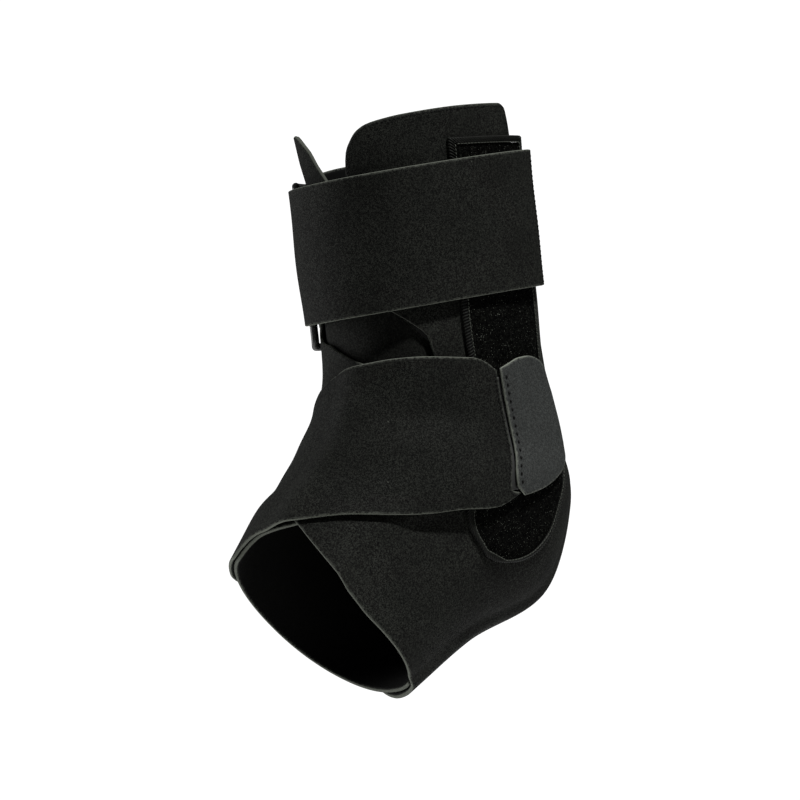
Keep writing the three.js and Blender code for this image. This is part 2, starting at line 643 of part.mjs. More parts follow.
function ringTab() {
  const onPanel = ON_PANEL + WEBBING_WALL / 2;
  const onWebbing = onPanel + WEBBING_WALL + PLY_GAP;
  const overBar = RING_HELD_OFF + TAB_FOLD_RADIUS;
  const lower = [];
  const upper = [];
  for (let i = 0; i < STEPS.webbing; i += 1) {
    lower.push({ angle: mix(RING_TAB_ANGLE, RING_HELD_ANGLE, i / STEPS.webbing), off: onPanel });
    const angle = mix(RING_HELD_ANGLE, RING_TAB_ANGLE, (i + 1) / STEPS.webbing);
    upper.push({ angle, off: mix(onWebbing, overBar, ramp(RAMPS.webbingOverBar, angle)) });
  }
  const bar = { angle: RING_HELD_ANGLE, off: RING_HELD_OFF, radius: TAB_FOLD_RADIUS };
  const path = foldedPath(lower, bar, upper, STEPS.webbingFold);
  const heights = shares(STEPS.webbingRows).map((share) => ({
    share,
    height: () => RING_LEVEL + RING_TAB_WIDTH * (0.5 - share),
  }));
  return foldedStrip(path, WEBBING_WALL, heights, () => 0);
}

// Ring: two upright bars joined by curved ones that follow the leg.
function strapRing() {
  const sides = STEPS.ringSides;
  const half = RING_LENGTH / 2;
  const corner = RING_BAR;
  const reach = RING_HELD_ANGLE - RING_FREE_ANGLE;
  const perDegree = 1 / degreesFor(1, RING_LEVEL, (RING_HELD_ANGLE + RING_FREE_ANGLE) / 2);
  const cornerShare = corner / (Math.abs(reach) * perDegree);
  const centre = (across, up) => {
    const angle = RING_FREE_ANGLE + reach * across;
    const off = mix(RING_FREE_OFF, RING_HELD_OFF, across);
    return skinAtHeight(RING_LEVEL + up, angle, off);
  };
  const path = [];
  const arc = (acrossMiddle, upMiddle, start) => {
    for (let i = 0; i <= STEPS.ringCorner; i += 1) {
      const turn = start + (Math.PI / 2) * (i / STEPS.ringCorner);
      path.push(centre(acrossMiddle + cornerShare * Math.cos(turn), upMiddle + corner * Math.sin(turn)));
    }
  };
  arc(1 - cornerShare, half - corner, 0);
  path.push(centre(0.5, half));
  arc(cornerShare, half - corner, Math.PI / 2);
  [0.5, 0, -0.5].forEach((share) => path.push(centre(0, half * share)));
  arc(cornerShare, corner - half, Math.PI);
  path.push(centre(0.5, -half));
  arc(1 - cornerShare, corner - half, Math.PI * 1.5);
  [-0.5, 0, 0.5].forEach((share) => path.push(centre(1, half * share)));
  const middleAngle = (RING_HELD_ANGLE + RING_FREE_ANGLE) / 2;
  const outward = hollowNormal(placeAtHeight(RING_LEVEL, middleAngle, 0), middleAngle);
  const rings = path.map((p, k) => {
    const before = path[(k + path.length - 1) % path.length];
    const after = path[(k + 1) % path.length];
    const along = after.clone().sub(before).normalize();
    const sideways = along.clone().cross(outward).normalize();
    const up = sideways.clone().cross(along).normalize();
    return shares(sides).slice(0, sides).map((share) => {
      const turn = 2 * Math.PI * (share + 0.5 / sides);
      const across = sideways.clone().multiplyScalar(RING_RADIUS * Math.cos(turn));
      return p.clone().add(across).addScaledVector(up, RING_RADIUS * Math.sin(turn));
    });
  });
  return closedLoop(rings);
}

// How far the lower strap stands off the hollow.
function lowerStrapOff(angle, v) {
  const onInstep = PANEL_WALL + LAP_GAP;
  const off = mix(onInstep, STRAP_OFF, ramp(RAMPS.instepOntoPile, angle));
  const onSide = ramp(RAMPS.looseEdgeStart, angle) * (1 - ramp(RAMPS.looseEdgeEnd, angle));
  return off + INSTEP_STAND_OFF * ramp(RAMPS.looseEdge, v) * onSide;
}

// Place along the sections down the lower strap's end edge.
function endPlace(v) {
  return mix(LOWER_END_EDGE[0].at, LOWER_END_EDGE[LOWER_END_EDGE.length - 1].at, v);
}

// Lower strap: sewn along the inner side of the foot, over the instep and back to the heel's side.
function lowerStrap() {
  const start = LOWER_TOP_EDGE[0].angle;
  const topCorner = LOWER_TOP_EDGE[LOWER_TOP_EDGE.length - 1].angle;
  const across = stretchedShares([
    { from: start, to: 0, steps: 10 },
    { from: 0, to: 80, steps: 10 },
    { from: 80, to: topCorner, steps: 3 },
  ]);
  return wrappedSheet(across, shares(STEPS.lowerStrapRows), STRAP_WALL, (u, v) => {
    const endAngle = follow(LOWER_END_EDGE, 'at', 'angle', endPlace(v));
    const angle = mix(start, endAngle, u);
    const top = follow(LOWER_TOP_EDGE, 'angle', 'at', Math.min(angle, topCorner));
    const bottom = follow(LOWER_BOTTOM_EDGE, 'angle', 'at', angle);
    return { at: mix(top, bottom, v), angle, off: lowerStrapOff(angle, v) };
  });
}

// A place on the tab, which starts a seam's width behind the lower strap's end.
function tabPlace(u, v, overlap) {
  const strapEnd = follow(LOWER_END_EDGE, 'at', 'angle', endPlace(v));
  const start = strapEnd + degreesAcross(TAB_SEAM, endPlace(v), strapEnd + 1) - overlap;
  const angle = mix(start, TAB_BACK_ANGLE, u);
  const top = follow(TAB_TOP_EDGE, 'angle', 'at', angle);
  const bottom = follow(TAB_BOTTOM_EDGE, 'angle', 'at', angle);
  return { at: mix(top, bottom, v), angle };
}

function hookTab() {
  const columns = shares(STEPS.tabColumns);
  return wrappedSheet(columns, shares(STEPS.tabRows), TAB_WALL, (u, v) => ({ ...tabPlace(u, v, 0), off: STRAP_OFF }));
}

// Hook backing under the lower strap's end and the tab.
function lowerHook() {
  const { start, top, end, underStrap } = LOWER_HOOK;
  return wrappedSheet(shares(STEPS.hookColumns), shares(STEPS.tabRows), HOOK_WALL, (u, v) => {
    const { at, angle } = tabPlace(mix(start, end, u), mix(top, end, v), underStrap);
    return { at, angle, off: ON_PILE };
  });
}

// Hook backing under the upper strap's end.
function upperHook() {
  const { startAngle, endMargin, widthShare, sectionPlace } = UPPER_HOOK;
  return wrappedSheet(shares(STEPS.upperHookColumns), shares(STEPS.upperHookRows), HOOK_WALL, (u, v) => {
    const angle = mix(startAngle, STRAP_END_ANGLE - endMargin, u);
    const height = strapLevel(hollowPoint(sectionPlace, angle)) + STRAP_WIDTH * widthShare * (0.5 - v);
    return { at: placeAtHeight(height, angle, ON_PILE), angle, off: ON_PILE };
  });
}

const brace = new THREE.Group();
brace.name = 'ankle_brace';
const laminate = finish(COLOURS.laminate, 0.72, 0);
const lining = finish(COLOURS.lining, 0.85, 0);
const panels = new THREE.Group();
panels.add(piece('outer_panel', outerPanel(), laminate));
panels.add(piece('inner_panel', innerPanel(), lining));
panels.add(piece('tongue', tongue(), finish(COLOURS.laminate, 0.78, 0)));
panels.add(piece('pile_strip', pileStrip(), finish(COLOURS.pile, 0.98, 0)));
panels.add(piece('pile_binding', pileBinding(), finish(COLOURS.binding, 0.85, 0)));
const upperClosure = new THREE.Group();
upperClosure.add(piece('upper_strap', upperStrap(), laminate));
upperClosure.add(piece('upper_hook', upperHook(), finish(COLOURS.hook, 0.8, 0)));
upperClosure.add(piece('strap_ring', strapRing(), finish(COLOURS.plastic, 0.4, 0)));
upperClosure.add(piece('ring_tab', ringTab(), finish(COLOURS.webbing, 0.85, 0)));
const lowerClosure = new THREE.Group();
lowerClosure.add(piece('lower_strap', lowerStrap(), laminate));
lowerClosure.add(piece('lower_hook', lowerHook(), finish(COLOURS.hook, 0.8, 0)));
lowerClosure.add(piece('hook_tab', hookTab(), finish(COLOURS.tab, 0.7, 0)));
brace.add(panels, upperClosure, lowerClosure);

export default brace;
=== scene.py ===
# %% [markdown]
# A wrap-on ankle brace: two laminate panels, a tongue, a strap that doubles back through a ring
# above the ankle, and a broad strap over the instep that closes on a field of pile.
# Everything is in metres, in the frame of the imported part: +Z up the leg, toes to -Y, outer side +X.
# The panels and straps all lie on one smooth hollow, so the hollow is described once and every
# piece is a patch of it, laid at its own distance off the wall.
import math

import bpy
import numpy as np
from mathutils import Matrix, Vector
from mathutils.kdtree import KDTree


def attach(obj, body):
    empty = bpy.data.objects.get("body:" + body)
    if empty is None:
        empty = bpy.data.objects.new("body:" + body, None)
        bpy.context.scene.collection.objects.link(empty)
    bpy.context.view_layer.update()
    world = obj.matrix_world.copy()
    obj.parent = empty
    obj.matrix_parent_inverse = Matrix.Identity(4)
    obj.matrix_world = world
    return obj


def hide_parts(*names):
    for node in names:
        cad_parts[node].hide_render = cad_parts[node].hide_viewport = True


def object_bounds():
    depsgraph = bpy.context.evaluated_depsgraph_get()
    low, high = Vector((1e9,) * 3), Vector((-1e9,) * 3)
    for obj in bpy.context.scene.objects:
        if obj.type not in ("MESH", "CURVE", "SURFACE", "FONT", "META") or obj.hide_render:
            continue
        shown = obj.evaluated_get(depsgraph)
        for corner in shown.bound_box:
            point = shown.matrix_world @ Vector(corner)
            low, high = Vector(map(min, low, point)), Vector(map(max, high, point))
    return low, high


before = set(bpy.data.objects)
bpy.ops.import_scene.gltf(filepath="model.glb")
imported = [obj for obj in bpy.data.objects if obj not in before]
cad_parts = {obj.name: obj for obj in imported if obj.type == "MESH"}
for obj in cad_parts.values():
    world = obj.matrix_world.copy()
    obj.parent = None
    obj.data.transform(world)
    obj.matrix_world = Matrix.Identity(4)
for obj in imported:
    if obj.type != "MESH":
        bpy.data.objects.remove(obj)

MM = 0.001
cad_box = [list(corner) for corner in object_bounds()]
random = np.random.default_rng(56)
print("packed box, mm:", [[round(value / MM, 1) for value in corner] for corner in cad_box])

# %% [markdown]
# The camera stands level with the brace, to the front of its outer side, a little under a metre
# and a half away. It is rolled a few degrees, because the leg leans in the picture. The roll is
# built from the three axes of the camera, which is simpler to read than three angles.

# %% Camera
VIEW_AZIMUTH = math.radians(56)
VIEW_ROLL = math.radians(5.5)
VIEW_DISTANCE = 1.4
VIEW_TARGET = Vector((0, 0, 0.028))
IMAGE_PIXELS = 800
TARGET_OFF_CENTRE = (29.5, 3.0)
VIEW_LENS = 165.8

towards_camera = Vector((math.sin(VIEW_AZIMUTH), -math.cos(VIEW_AZIMUTH), 0))
rightwards = Vector((math.cos(VIEW_AZIMUTH), math.sin(VIEW_AZIMUTH), 0))
upwards = Vector((0, 0, 1))
camera_x = rightwards * math.cos(VIEW_ROLL) - upwards * math.sin(VIEW_ROLL)
camera_y = rightwards * math.sin(VIEW_ROLL) + upwards * math.cos(VIEW_ROLL)

camera_data = bpy.data.cameras.new("camera")
camera_data.lens = VIEW_LENS
camera_data.shift_x = -TARGET_OFF_CENTRE[0] / IMAGE_PIXELS
camera_data.shift_y = -TARGET_OFF_CENTRE[1] / IMAGE_PIXELS
camera = bpy.data.objects.new("camera", camera_data)
turn = Matrix((camera_x, camera_y, towards_camera)).transposed().to_4x4()
camera.matrix_world = Matrix.Translation(VIEW_TARGET + towards_camera * VIEW_DISTANCE) @ turn
bpy.context.scene.collection.objects.link(camera)
bpy.context.scene.camera = camera
print("camera at", [round(value, 3) for value in camera.location])

# %% [markdown]
# A dark thing on white: the pale rims on its outline are the white round it, seen at a grazing
# angle, and the dark bands under the straps are shadows of a high light. So the world is white
# but gives little light, a soft-edged sun stands high on the right, and a soft box at the left
# draws the rims. The floor is small and well below, so that it throws little light back up.

# %% Floor, world and lights
FLOOR_DROP = 0.4
FLOOR_SIZE = 1.8
WORLD_SHOWN = 1.1
WORLD_LIGHT = 0.1
SUN_STRENGTH = 5.2
SUN_SOFTNESS = math.radians(5)


def new_material(name):
    material = bpy.data.materials.new(name)
    material.use_nodes = True
    shader = next(node for node in material.node_tree.nodes if node.type == "BSDF_PRINCIPLED")
    return material, material.node_tree, shader


floor_mesh = bpy.data.meshes.new("floor")
half = FLOOR_SIZE / 2
floor_level = cad_box[0][2] - FLOOR_DROP
around = ((-half, -half), (half, -half), (half, half), (-half, half))
floor_corners = [(x, y, floor_level) for x, y in around]
floor_mesh.from_pydata(floor_corners, [], [(0, 1, 2, 3)])
floor = bpy.data.objects.new("floor", floor_mesh)
bpy.context.scene.collection.objects.link(floor)
floor_paint, _, floor_shader = new_material("pale_floor")
floor_shader.inputs["Base Color"].default_value = (0.86, 0.86, 0.86, 1)
floor_shader.inputs["Roughness"].default_value = 0.9
floor_shader.inputs["Emission Color"].default_value = (1, 1, 1, 1)
floor_shader.inputs["Emission Strength"].default_value = 0.1
floor_mesh.materials.append(floor_paint)

world = bpy.data.worlds.new("white_surround")
bpy.context.scene.world = world
world.use_nodes = True
sky = world.node_tree
background = sky.nodes["Background"]
background.inputs["Color"].default_value = (1, 1, 1, 1)
seen = sky.nodes.new("ShaderNodeLightPath").outputs["Is Camera Ray"]
strength = sky.nodes.new("ShaderNodeMix")
strength.inputs["A"].default_value = WORLD_LIGHT
strength.inputs["B"].default_value = WORLD_SHOWN
sky.links.new(seen, strength.inputs["Factor"])
sky.links.new(strength.outputs["Result"], background.inputs["Strength"])
bpy.context.scene.view_settings.view_transform = "Standard"


def soft_box(name, direction, distance, size, power):
    light = bpy.data.lights.new(name, "AREA")
    light.shape = "RECTANGLE"
    light.size, light.size_y = size
    light.energy = power
    lamp = bpy.data.objects.new(name, light)
    lamp.location = VIEW_TARGET + direction.normalized() * distance
    lamp.rotation_euler = direction.to_track_quat("Z", "Y").to_euler()
    bpy.context.scene.collection.objects.link(lamp)


sun_data = bpy.data.lights.new("high_sun", "SUN")
sun_data.energy = SUN_STRENGTH
sun_data.angle = SUN_SOFTNESS
sun = bpy.data.objects.new("high_sun", sun_data)
sun_from = towards_camera * 0.42 + rightwards * 0.4 + upwards * 0.8
sun.rotation_euler = sun_from.to_track_quat("Z", "Y").to_euler()
bpy.context.scene.collection.objects.link(sun)
soft_box("side_fill", -rightwards - towards_camera * 0.3 + upwards * 0.1, 1.3, (0.6, 1.0), 15)

# %% [markdown]
# The hollow is a stack of rounded sections from the leg's top to the foot's opening, like the
# frames of a boat. Each row of the table says where a section's front and back points lie and how
# wide it is, as shares of the real sizes. A place on the hollow is then two numbers: how far down
# the sections, and the angle round one of them (0 front, 90 outer side, 180 back).
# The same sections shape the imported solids, so the fine sheets lie where the solids lie.

# %% The hollow
LEG_HEIGHT = 139 * MM
LEG_FRONT = 41 * MM
LEG_WIDTH = 74 * MM
FOOT_WIDTH = 74 * MM
FOOT_RUN = 44.3 * MM
HEEL_REACH = 50.8 * MM
SOLE_DROP = 80.8 * MM
SQUARENESS = 2.15
# front, run, front rise, back, back rise, leg width, foot width, widest place
SECTIONS = np.array([
    (1, 0, 1, 0.905, 1, 1, 0, 0.5),
    (0.963, 0, 0.755, 0.886, 0.755, 0.973, 0, 0.5),
    (0.956, 0, 0.518, 0.876, 0.504, 0.946, 0, 0.5),
    (0.951, 0, 0.317, 0.896, 0.245, 0.46, 0.459, 0.5),
    (0.951, 0.09, 0.194, 0.982, 0.018, 0, 0.919, 0.52),
    (0.951, 0.28, 0.094, 1, -0.235, 0, 1.022, 0.52),
    (0.951, 0.53, 0, 0.734, -0.618, 0, 0.965, 0.5),
    (0.951, 0.735, -0.105, 0.024, -0.796, 0, 0.949, 0.5),
    (0.951, 1, -0.3, -0.632, -1, 0, 1, 0.5),
])
LAST_SECTION = len(SECTIONS) - 1
OVERRUN_TOP = 0.5
OVERRUN_BOTTOM = 0.2
RIPPLE = 0.55 * MM
DENT_DEPTH = 2.6 * MM
DENT_PLACE = 6.8
DENT_ANGLE = 150
DENT_REACH = 1.1


def rise(share):
    return share * np.where(share > 0, LEG_HEIGHT, SOLE_DROP)


front, run, front_rise, back, back_rise, leg, foot, widest = SECTIONS.T
SECTION_SIZES = np.stack([
    -(front * LEG_FRONT + run * FOOT_RUN),
    rise(front_rise),
    back * HEEL_REACH,
    rise(back_rise),
    (leg * LEG_WIDTH + foot * FOOT_WIDTH) / 2,
    widest,
], axis=1)
before_first = 2 * SECTION_SIZES[0] - SECTION_SIZES[1]
after_last = 2 * SECTION_SIZES[-1] - SECTION_SIZES[-2]
PADDED_SIZES = np.vstack([before_first, SECTION_SIZES, after_last])


def section_at(at):
    place = np.clip(at, -OVERRUN_TOP, LAST_SECTION + OVERRUN_BOTTOM)
    i = np.clip(np.floor(place), 0, LAST_SECTION - 1).astype(int)
    t = (place - i)[..., None]
    p, q, r, s = (PADDED_SIZES[i + k] for k in range(4))
    square, cube = 2 * p - 5 * q + 4 * r - s, 3 * q - p - 3 * r + s
    sizes = 0.5 * (2 * q + (r - p) * t + square * t**2 + cube * t**3)
    return np.moveaxis(sizes, -1, 0)


def hollow_point(at, angle):
    at, angle = np.broadcast_arrays(np.asarray(at, float), np.asarray(angle, float))
    front_y, front_z, back_y, back_z, half_width, wide = section_at(at)
    turn = np.radians(angle)
    bend = 2 / SQUARENESS
    along = np.sign(np.cos(turn)) * np.abs(np.cos(turn)) ** bend
    side = np.sign(np.sin(turn)) * np.abs(np.sin(turn)) ** bend
    mid_y = front_y + (back_y - front_y) * wide
    mid_z = front_z + (back_z - front_z) * wide
    end_y = np.where(along >= 0, front_y - mid_y, mid_y - back_y)
    end_z = np.where(along >= 0, front_z - mid_z, mid_z - back_z)
    return np.stack([half_width * side, mid_y + end_y * along, mid_z + end_z * along], axis=-1)


def hollow_normal(at, angle):
    step = 0.01
    turn = 0.6
    down = hollow_point(at + step, angle) - hollow_point(at - step, angle)
    round_it = hollow_point(at, angle + turn) - hollow_point(at, angle - turn)
    normal = np.cross(down, round_it)
    return normal / np.linalg.norm(normal, axis=-1, keepdims=True)


def ripple(at, angle):
    """Slow swells of worn cloth. They are the same for every layer, so the layers keep their gaps."""
    turn = np.radians(angle)
    swell = np.sin(2.1 * at + 2 * turn) + 0.7 * np.sin(3.3 * at - 3 * turn + 1.1)
    swell += 0.5 * np.sin(5.9 * at + 5 * turn + 0.4)
    round_dent = np.exp(4 * (np.cos(turn - math.radians(DENT_ANGLE)) - 1))
    dent = round_dent * np.exp(-(((at - DENT_PLACE) / DENT_REACH) ** 2))
    return RIPPLE * swell / 2.2 - DENT_DEPTH * dent


def skin(at, angle, off):
    """A point that stands off the hollow's wall by a distance."""
    return hollow_point(at, angle) + hollow_normal(at, angle) * (off + ripple(at, angle))[..., None]


def skin_at_height(height, angle, off):
    """The skin's point at this angle and height, found by halving the stretch it lies in."""
    height, angle, off = np.broadcast_arrays(height, angle, off)
    high = np.full(height.shape, -OVERRUN_TOP)
    low = np.full(height.shape, 4.0)
    for _ in range(24):
        middle = (high + low) / 2
        above = skin(middle, angle, off)[..., 2] > height
        high = np.where(above, middle, high)
        low = np.where(above, low, middle)
    return skin((high + low) / 2, angle, off)


def degrees_across(length, at, angle):
    step = hollow_point(at, angle + 0.5) - hollow_point(at, angle - 0.5)
    return length / np.linalg.norm(step, axis=-1)


print("hollow at the ankle, mm:", np.round(hollow_point(4.0, np.array([0, 90, 180])) / MM, 1).tolist())

# %% [markdown]
# A cut edge is a curve on the hollow. A few rows of (place, angle) and a smooth curve through them
# that never overshoots are enough, and the panel's outline can then be read off the table.

# %% Curves through short tables
def follow(table, place):
    """Value of a smooth curve through rows of (place, value); it holds its end values."""
    keys, values = np.array(table, float).T
    slopes = np.diff(values) / np.diff(keys)
    tangents = np.zeros(len(keys))
    tangents[0], tangents[-1] = slopes[0], slopes[-1]
    before, after = slopes[:-1], slopes[1:]
    steady = before * after > 0
    tangents[1:-1][steady] = 2 * before[steady] * after[steady] / (before + after)[steady]
    place = np.clip(place, keys[0], keys[-1])
    i = np.clip(np.searchsorted(keys, place, side="right") - 1, 0, len(keys) - 2)
    span = keys[i + 1] - keys[i]
    t = (place - keys[i]) / span
    start = (2 * t**3 - 3 * t**2 + 1) * values[i] + (t**3 - 2 * t**2 + t) * span * tangents[i]
    return start + (3 * t**2 - 2 * t**3) * values[i + 1] + (t**3 - t**2) * span * tangents[i + 1]


def mix(a, b, t):
    return a + (b - a) * t


def smooth(start, end, value):
    t = np.clip((value - start) / (end - start), 0, 1)
    return t * t * (3 - 2 * t)


def stretched(*stretches):
    """Shares of a whole run, from stretches of (start, end, steps)."""
    places = [np.array([stretches[0][0]], float)]
    places += [np.linspace(start, end, steps + 1)[1:] for start, end, steps in stretches]
    places = np.concatenate(places)
    return (places - places[0]) / (places[-1] - places[0])


# %% [markdown]
# A cut sheet of laminate has two faces and a square edge that is slightly rounded by the blade and
# shows the paler core. The helper below takes the points of both faces as grids, closes them with
# a rounded edge strip and notes three lengths on every point: across, along and in from the edge.
# Stitches, weave and wear can then be placed in real millimetres, with no unwrapping.

# %% Closed sheets with rounded cut edges
EDGE_STEPS = 3


def border_of(rows, columns):
    """Grid places round the border, in order."""
    top = [(0, j) for j in range(columns - 1)]
    right = [(i, columns - 1) for i in range(rows - 1)]
    bottom = [(rows - 1, j) for j in range(columns - 1, 0, -1)]
    left = [(i, 0) for i in range(rows - 1, 0, -1)]
    return np.array(top + right + bottom + left)


def lengths_over(grid):
    """How far each point lies across and along the grid, in metres."""
    across = np.zeros(grid.shape[:2])
    along = np.zeros(grid.shape[:2])
    across[:, 1:] = np.cumsum(np.linalg.norm(np.diff(grid, axis=1), axis=2), axis=1)
    along[1:] = np.cumsum(np.linalg.norm(np.diff(grid, axis=0), axis=2), axis=0)
    return across, along


def distance_to(points, targets):
    tree = KDTree(len(targets))
    for i, point in enumerate(targets):
        tree.insert(point, i)
    tree.balance()
    return np.array([tree.find(point)[2] for point in points])


def mesh_object(name, points, faces, materials):
    mesh = bpy.data.meshes.new(name)
    mesh.from_pydata([tuple(point) for point in points], [], [tuple(face) for face in faces])
    mesh.validate()
    for material in materials:
        mesh.materials.append(material)
    mesh.polygons.foreach_set("use_smooth", [True] * len(mesh.polygons))
    made = bpy.data.objects.new(name, mesh)
    bpy.context.scene.collection.objects.link(made)
    return made


def note(piece, name, kind, values):
    attribute = piece.data.attributes.new(name, kind, "POINT")
    field = "vector" if kind == "FLOAT_VECTOR" else "value"
    attribute.data.foreach_set(field, np.asarray(values, np.float32).ravel())


def closed_sheet(name, outer, inner, materials, bulge=0.35 * MM):
    rows, columns = outer.shape[:2]
    border = border_of(rows, columns)
    bi, bj = border.T
    inward_i = np.clip(bi, 1, rows - 2)
    inward_j = np.clip(bj, 1, columns - 2)
    away = outer[bi, bj] - outer[inward_i, inward_j]
    away /= np.maximum(np.linalg.norm(away, axis=1, keepdims=True), 1e-9)
    rings = []
    for k in range(1, EDGE_STEPS + 1):
        t = k / (EDGE_STEPS + 1)
        rings.append(mix(outer[bi, bj], inner[bi, bj], t) + away * bulge * math.sin(math.pi * t) ** 0.7)
    count = rows * columns
    points = np.concatenate([outer.reshape(-1, 3), inner.reshape(-1, 3), *rings])

    grid = np.arange(count).reshape(rows, columns)
    quads = np.stack([grid[:-1, :-1], grid[1:, :-1], grid[1:, 1:], grid[:-1, 1:]], axis=-1)
    quads = quads.reshape(-1, 4)
    edge = bi * columns + bj
    between = [2 * count + k * len(border) + np.arange(len(border)) for k in range(EDGE_STEPS)]
    chain = [edge, *between, edge + count]
    strips = [
        np.stack([first, np.roll(first, -1), np.roll(second, -1), second], axis=-1)
        for first, second in zip(chain, chain[1:])
    ]
    faces = np.concatenate([quads, quads[:, ::-1] + count, *strips])

    facing = np.cross(outer[1:, 1:] - outer[:-1, :-1], outer[:-1, 1:] - outer[1:, :-1])
    # the outer face has to look away from the inner one
    if (facing * (outer - inner)[:-1, :-1]).sum() <= 0:
        faces = faces[:, ::-1]
    piece = mesh_object(name, points, faces, materials)

    across, along = lengths_over((outer + inner) / 2)
    from_edge = distance_to(outer.reshape(-1, 3), outer[bi, bj])
    flat = np.stack([across.ravel(), along.ravel(), from_edge], axis=-1)
    strip = EDGE_STEPS * len(border)
    note(piece, "cloth", "FLOAT_VECTOR", np.concatenate([flat, flat] + [flat[edge]] * EDGE_STEPS))
    note(piece, "rim", "FLOAT", np.repeat([0, 1], [2 * count, strip]))
    note(piece, "backing", "FLOAT", np.repeat([0, 1, 0.5], [count, count, strip]))
    area = np.linalg.norm(facing, axis=-1).sum() / 2
    print(f"{name}: {len(faces)} faces, {area * 1e4:.0f} cm2")
    return piece


def wrapped_sheet(name, across, along, wall, place, materials, padding=0.0, **shape):
    """A sheet wrapped on the hollow: place(u, v) gives its places, angles and stand-off."""
    u, v = np.meshgrid(across, along)
    at, angle, off = place(u, v)
    fullness = padding * np.sin(np.pi * u) * smooth(0, 0.12, v)
    outer = skin(at, angle, off + wall)
    inner = skin(at, angle, off - fullness)
    return closed_sheet(name, outer, inner, materials, **shape)


def adopt(piece, slot, *nodes):
    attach(piece, "root")
    for node in nodes:
        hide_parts(node)


def flat_size(piece):
    """The cut sheet's greatest lengths across and along, and its area."""
    cloth = np.zeros(len(piece.data.vertices) * 3, np.float32)
    piece.data.attributes["cloth"].data.foreach_get("vector", cloth)
    cloth = cloth.reshape(-1, 3)
    area = sum(face.area for face in piece.data.polygons) / 2
    width = float(cloth[:, 0].max())
    length = float(cloth[:, 1].max())
    return width, length, min(area, width * length)


def declare_sheet(piece):
    width, length, area = flat_size(piece)
    print(f"  cut {width / MM:.0f} x {length / MM:.0f} mm, {area * 1e4:.0f} cm2")


# %% [markdown]
# The cloth is a knit laminated to foam, dyed black. Close up it is a fine, even speckle of pale
# fibre ends with soft blotches where the nap lies differently. Both come from one node group, so
# that every cloth here has the same grain at its own size and strength.

# %% Node groups for grain and cut edges
def set_inputs(tree, made, inputs):
    """Links a socket, or sets a plain value on the node's own one."""
    for name, value in inputs.items():
        if isinstance(value, bpy.types.NodeSocket):
            tree.links.new(value, made.inputs[name])
        else:
            made.inputs[name].default_value = value


def node(tree, kind, inputs=None, **settings):
    made = tree.nodes.new(kind)
    for name, value in settings.items():
        setattr(made, name, value)
    set_inputs(tree, made, inputs or {})
    return made


def new_group(name, inputs, outputs):
    group = bpy.data.node_groups.new(name, "ShaderNodeTree")
    for socket, value in inputs.items():
        made = group.interface.new_socket(socket, in_out="INPUT", socket_type="NodeSocketFloat")
        made.default_value = value
    for socket in outputs:
        group.interface.new_socket(socket, in_out="OUTPUT", socket_type="NodeSocketFloat")
    return group, group.nodes.new("NodeGroupInput"), group.nodes.new("NodeGroupOutput")


def math_node(tree, operation, *values):
    return node(tree, "ShaderNodeMath", dict(enumerate(values)), operation=operation).outputs[0]


def ranged(tree, value, low, high, to_low=0.0, to_high=1.0):
    inputs = {"Value": value, "From Min": low, "From Max": high, "To Min": to_low, "To Max": to_high}
    return node(tree, "ShaderNodeMapRange", inputs, interpolation_type="SMOOTHSTEP").outputs["Result"]


def noise(tree, place, scale, detail=2.0, roughness=0.6):
    inputs = {"Vector": place, "Scale": scale, "Detail": detail, "Roughness": roughness}
    return node(tree, "ShaderNodeTexNoise", inputs).outputs["Fac"]


def grain_group():
    group, given, out = new_group(
        "fine_grain", {"Grains per metre": 2200.0}, ["Speckle", "Blotch", "Height"])
    place = group.nodes.new("ShaderNodeTexCoord").outputs["Object"]
    scale = given.outputs["Grains per metre"]
    fine = noise(group, place, scale, 3.0, 0.7)
    cells = node(group, "ShaderNodeTexVoronoi", {"Vector": place, "Scale": scale}).outputs["Distance"]
    fibre = noise(group, place, math_node(group, "MULTIPLY", scale, 0.45), 2.0)
    speckle = math_node(group, "MULTIPLY_ADD", fine, 0.7, math_node(group, "MULTIPLY", fibre, 0.3))
    group.links.new(ranged(group, speckle, 0.44, 0.6), out.inputs["Speckle"])
    group.links.new(ranged(group, noise(group, place, 45.0), 0.3, 0.7), out.inputs["Blotch"])
    group.links.new(math_node(group, "MULTIPLY_ADD", cells, 0.5, fine), out.inputs["Height"])
    return group


def edge_group():
    group, given, out = new_group("cut_edge", {"Wear width": 0.0007}, ["Core", "Wear", "Backing"])
    rim = node(group, "ShaderNodeAttribute", attribute_name="rim").outputs["Fac"]
    backing = node(group, "ShaderNodeAttribute", attribute_name="backing").outputs["Fac"]
    cloth = node(group, "ShaderNodeAttribute", attribute_name="cloth").outputs["Vector"]
    from_edge = node(group, "ShaderNodeSeparateXYZ", {"Vector": cloth}).outputs["Z"]
    place = group.nodes.new("ShaderNodeTexCoord").outputs["Object"]
    patchy = ranged(group, noise(group, place, 900.0), 0.35, 0.65)
    group.links.new(ranged(group, rim, 0.25, 0.8), out.inputs["Core"])
    near = ranged(group, from_edge, 0.0, given.outputs["Wear width"], 1.0, 0.0)
    group.links.new(math_node(group, "MULTIPLY", near, patchy), out.inputs["Wear"])
    group.links.new(ranged(group, backing, 0.55, 0.8), out.inputs["Backing"])
    return group


def lint_group():
    group, given, out = new_group("lint", {"Specks per metre": 700.0, "Sparseness": 0.72}, ["Speck"])
    place = group.nodes.new("ShaderNodeTexCoord").outputs["Object"]
    specks = noise(group, place, given.outputs["Specks per metre"], 1.0, 0.4)
    upper = math_node(group, "ADD", given.outputs["Sparseness"], 0.06)
    group.links.new(ranged(group, specks, given.outputs["Sparseness"], upper), out.inputs["Speck"])
    return group


FINE_GRAIN = grain_group()
CUT_EDGE = edge_group()
LINT = lint_group()
print("node groups:", [group.name for group in bpy.data.node_groups])

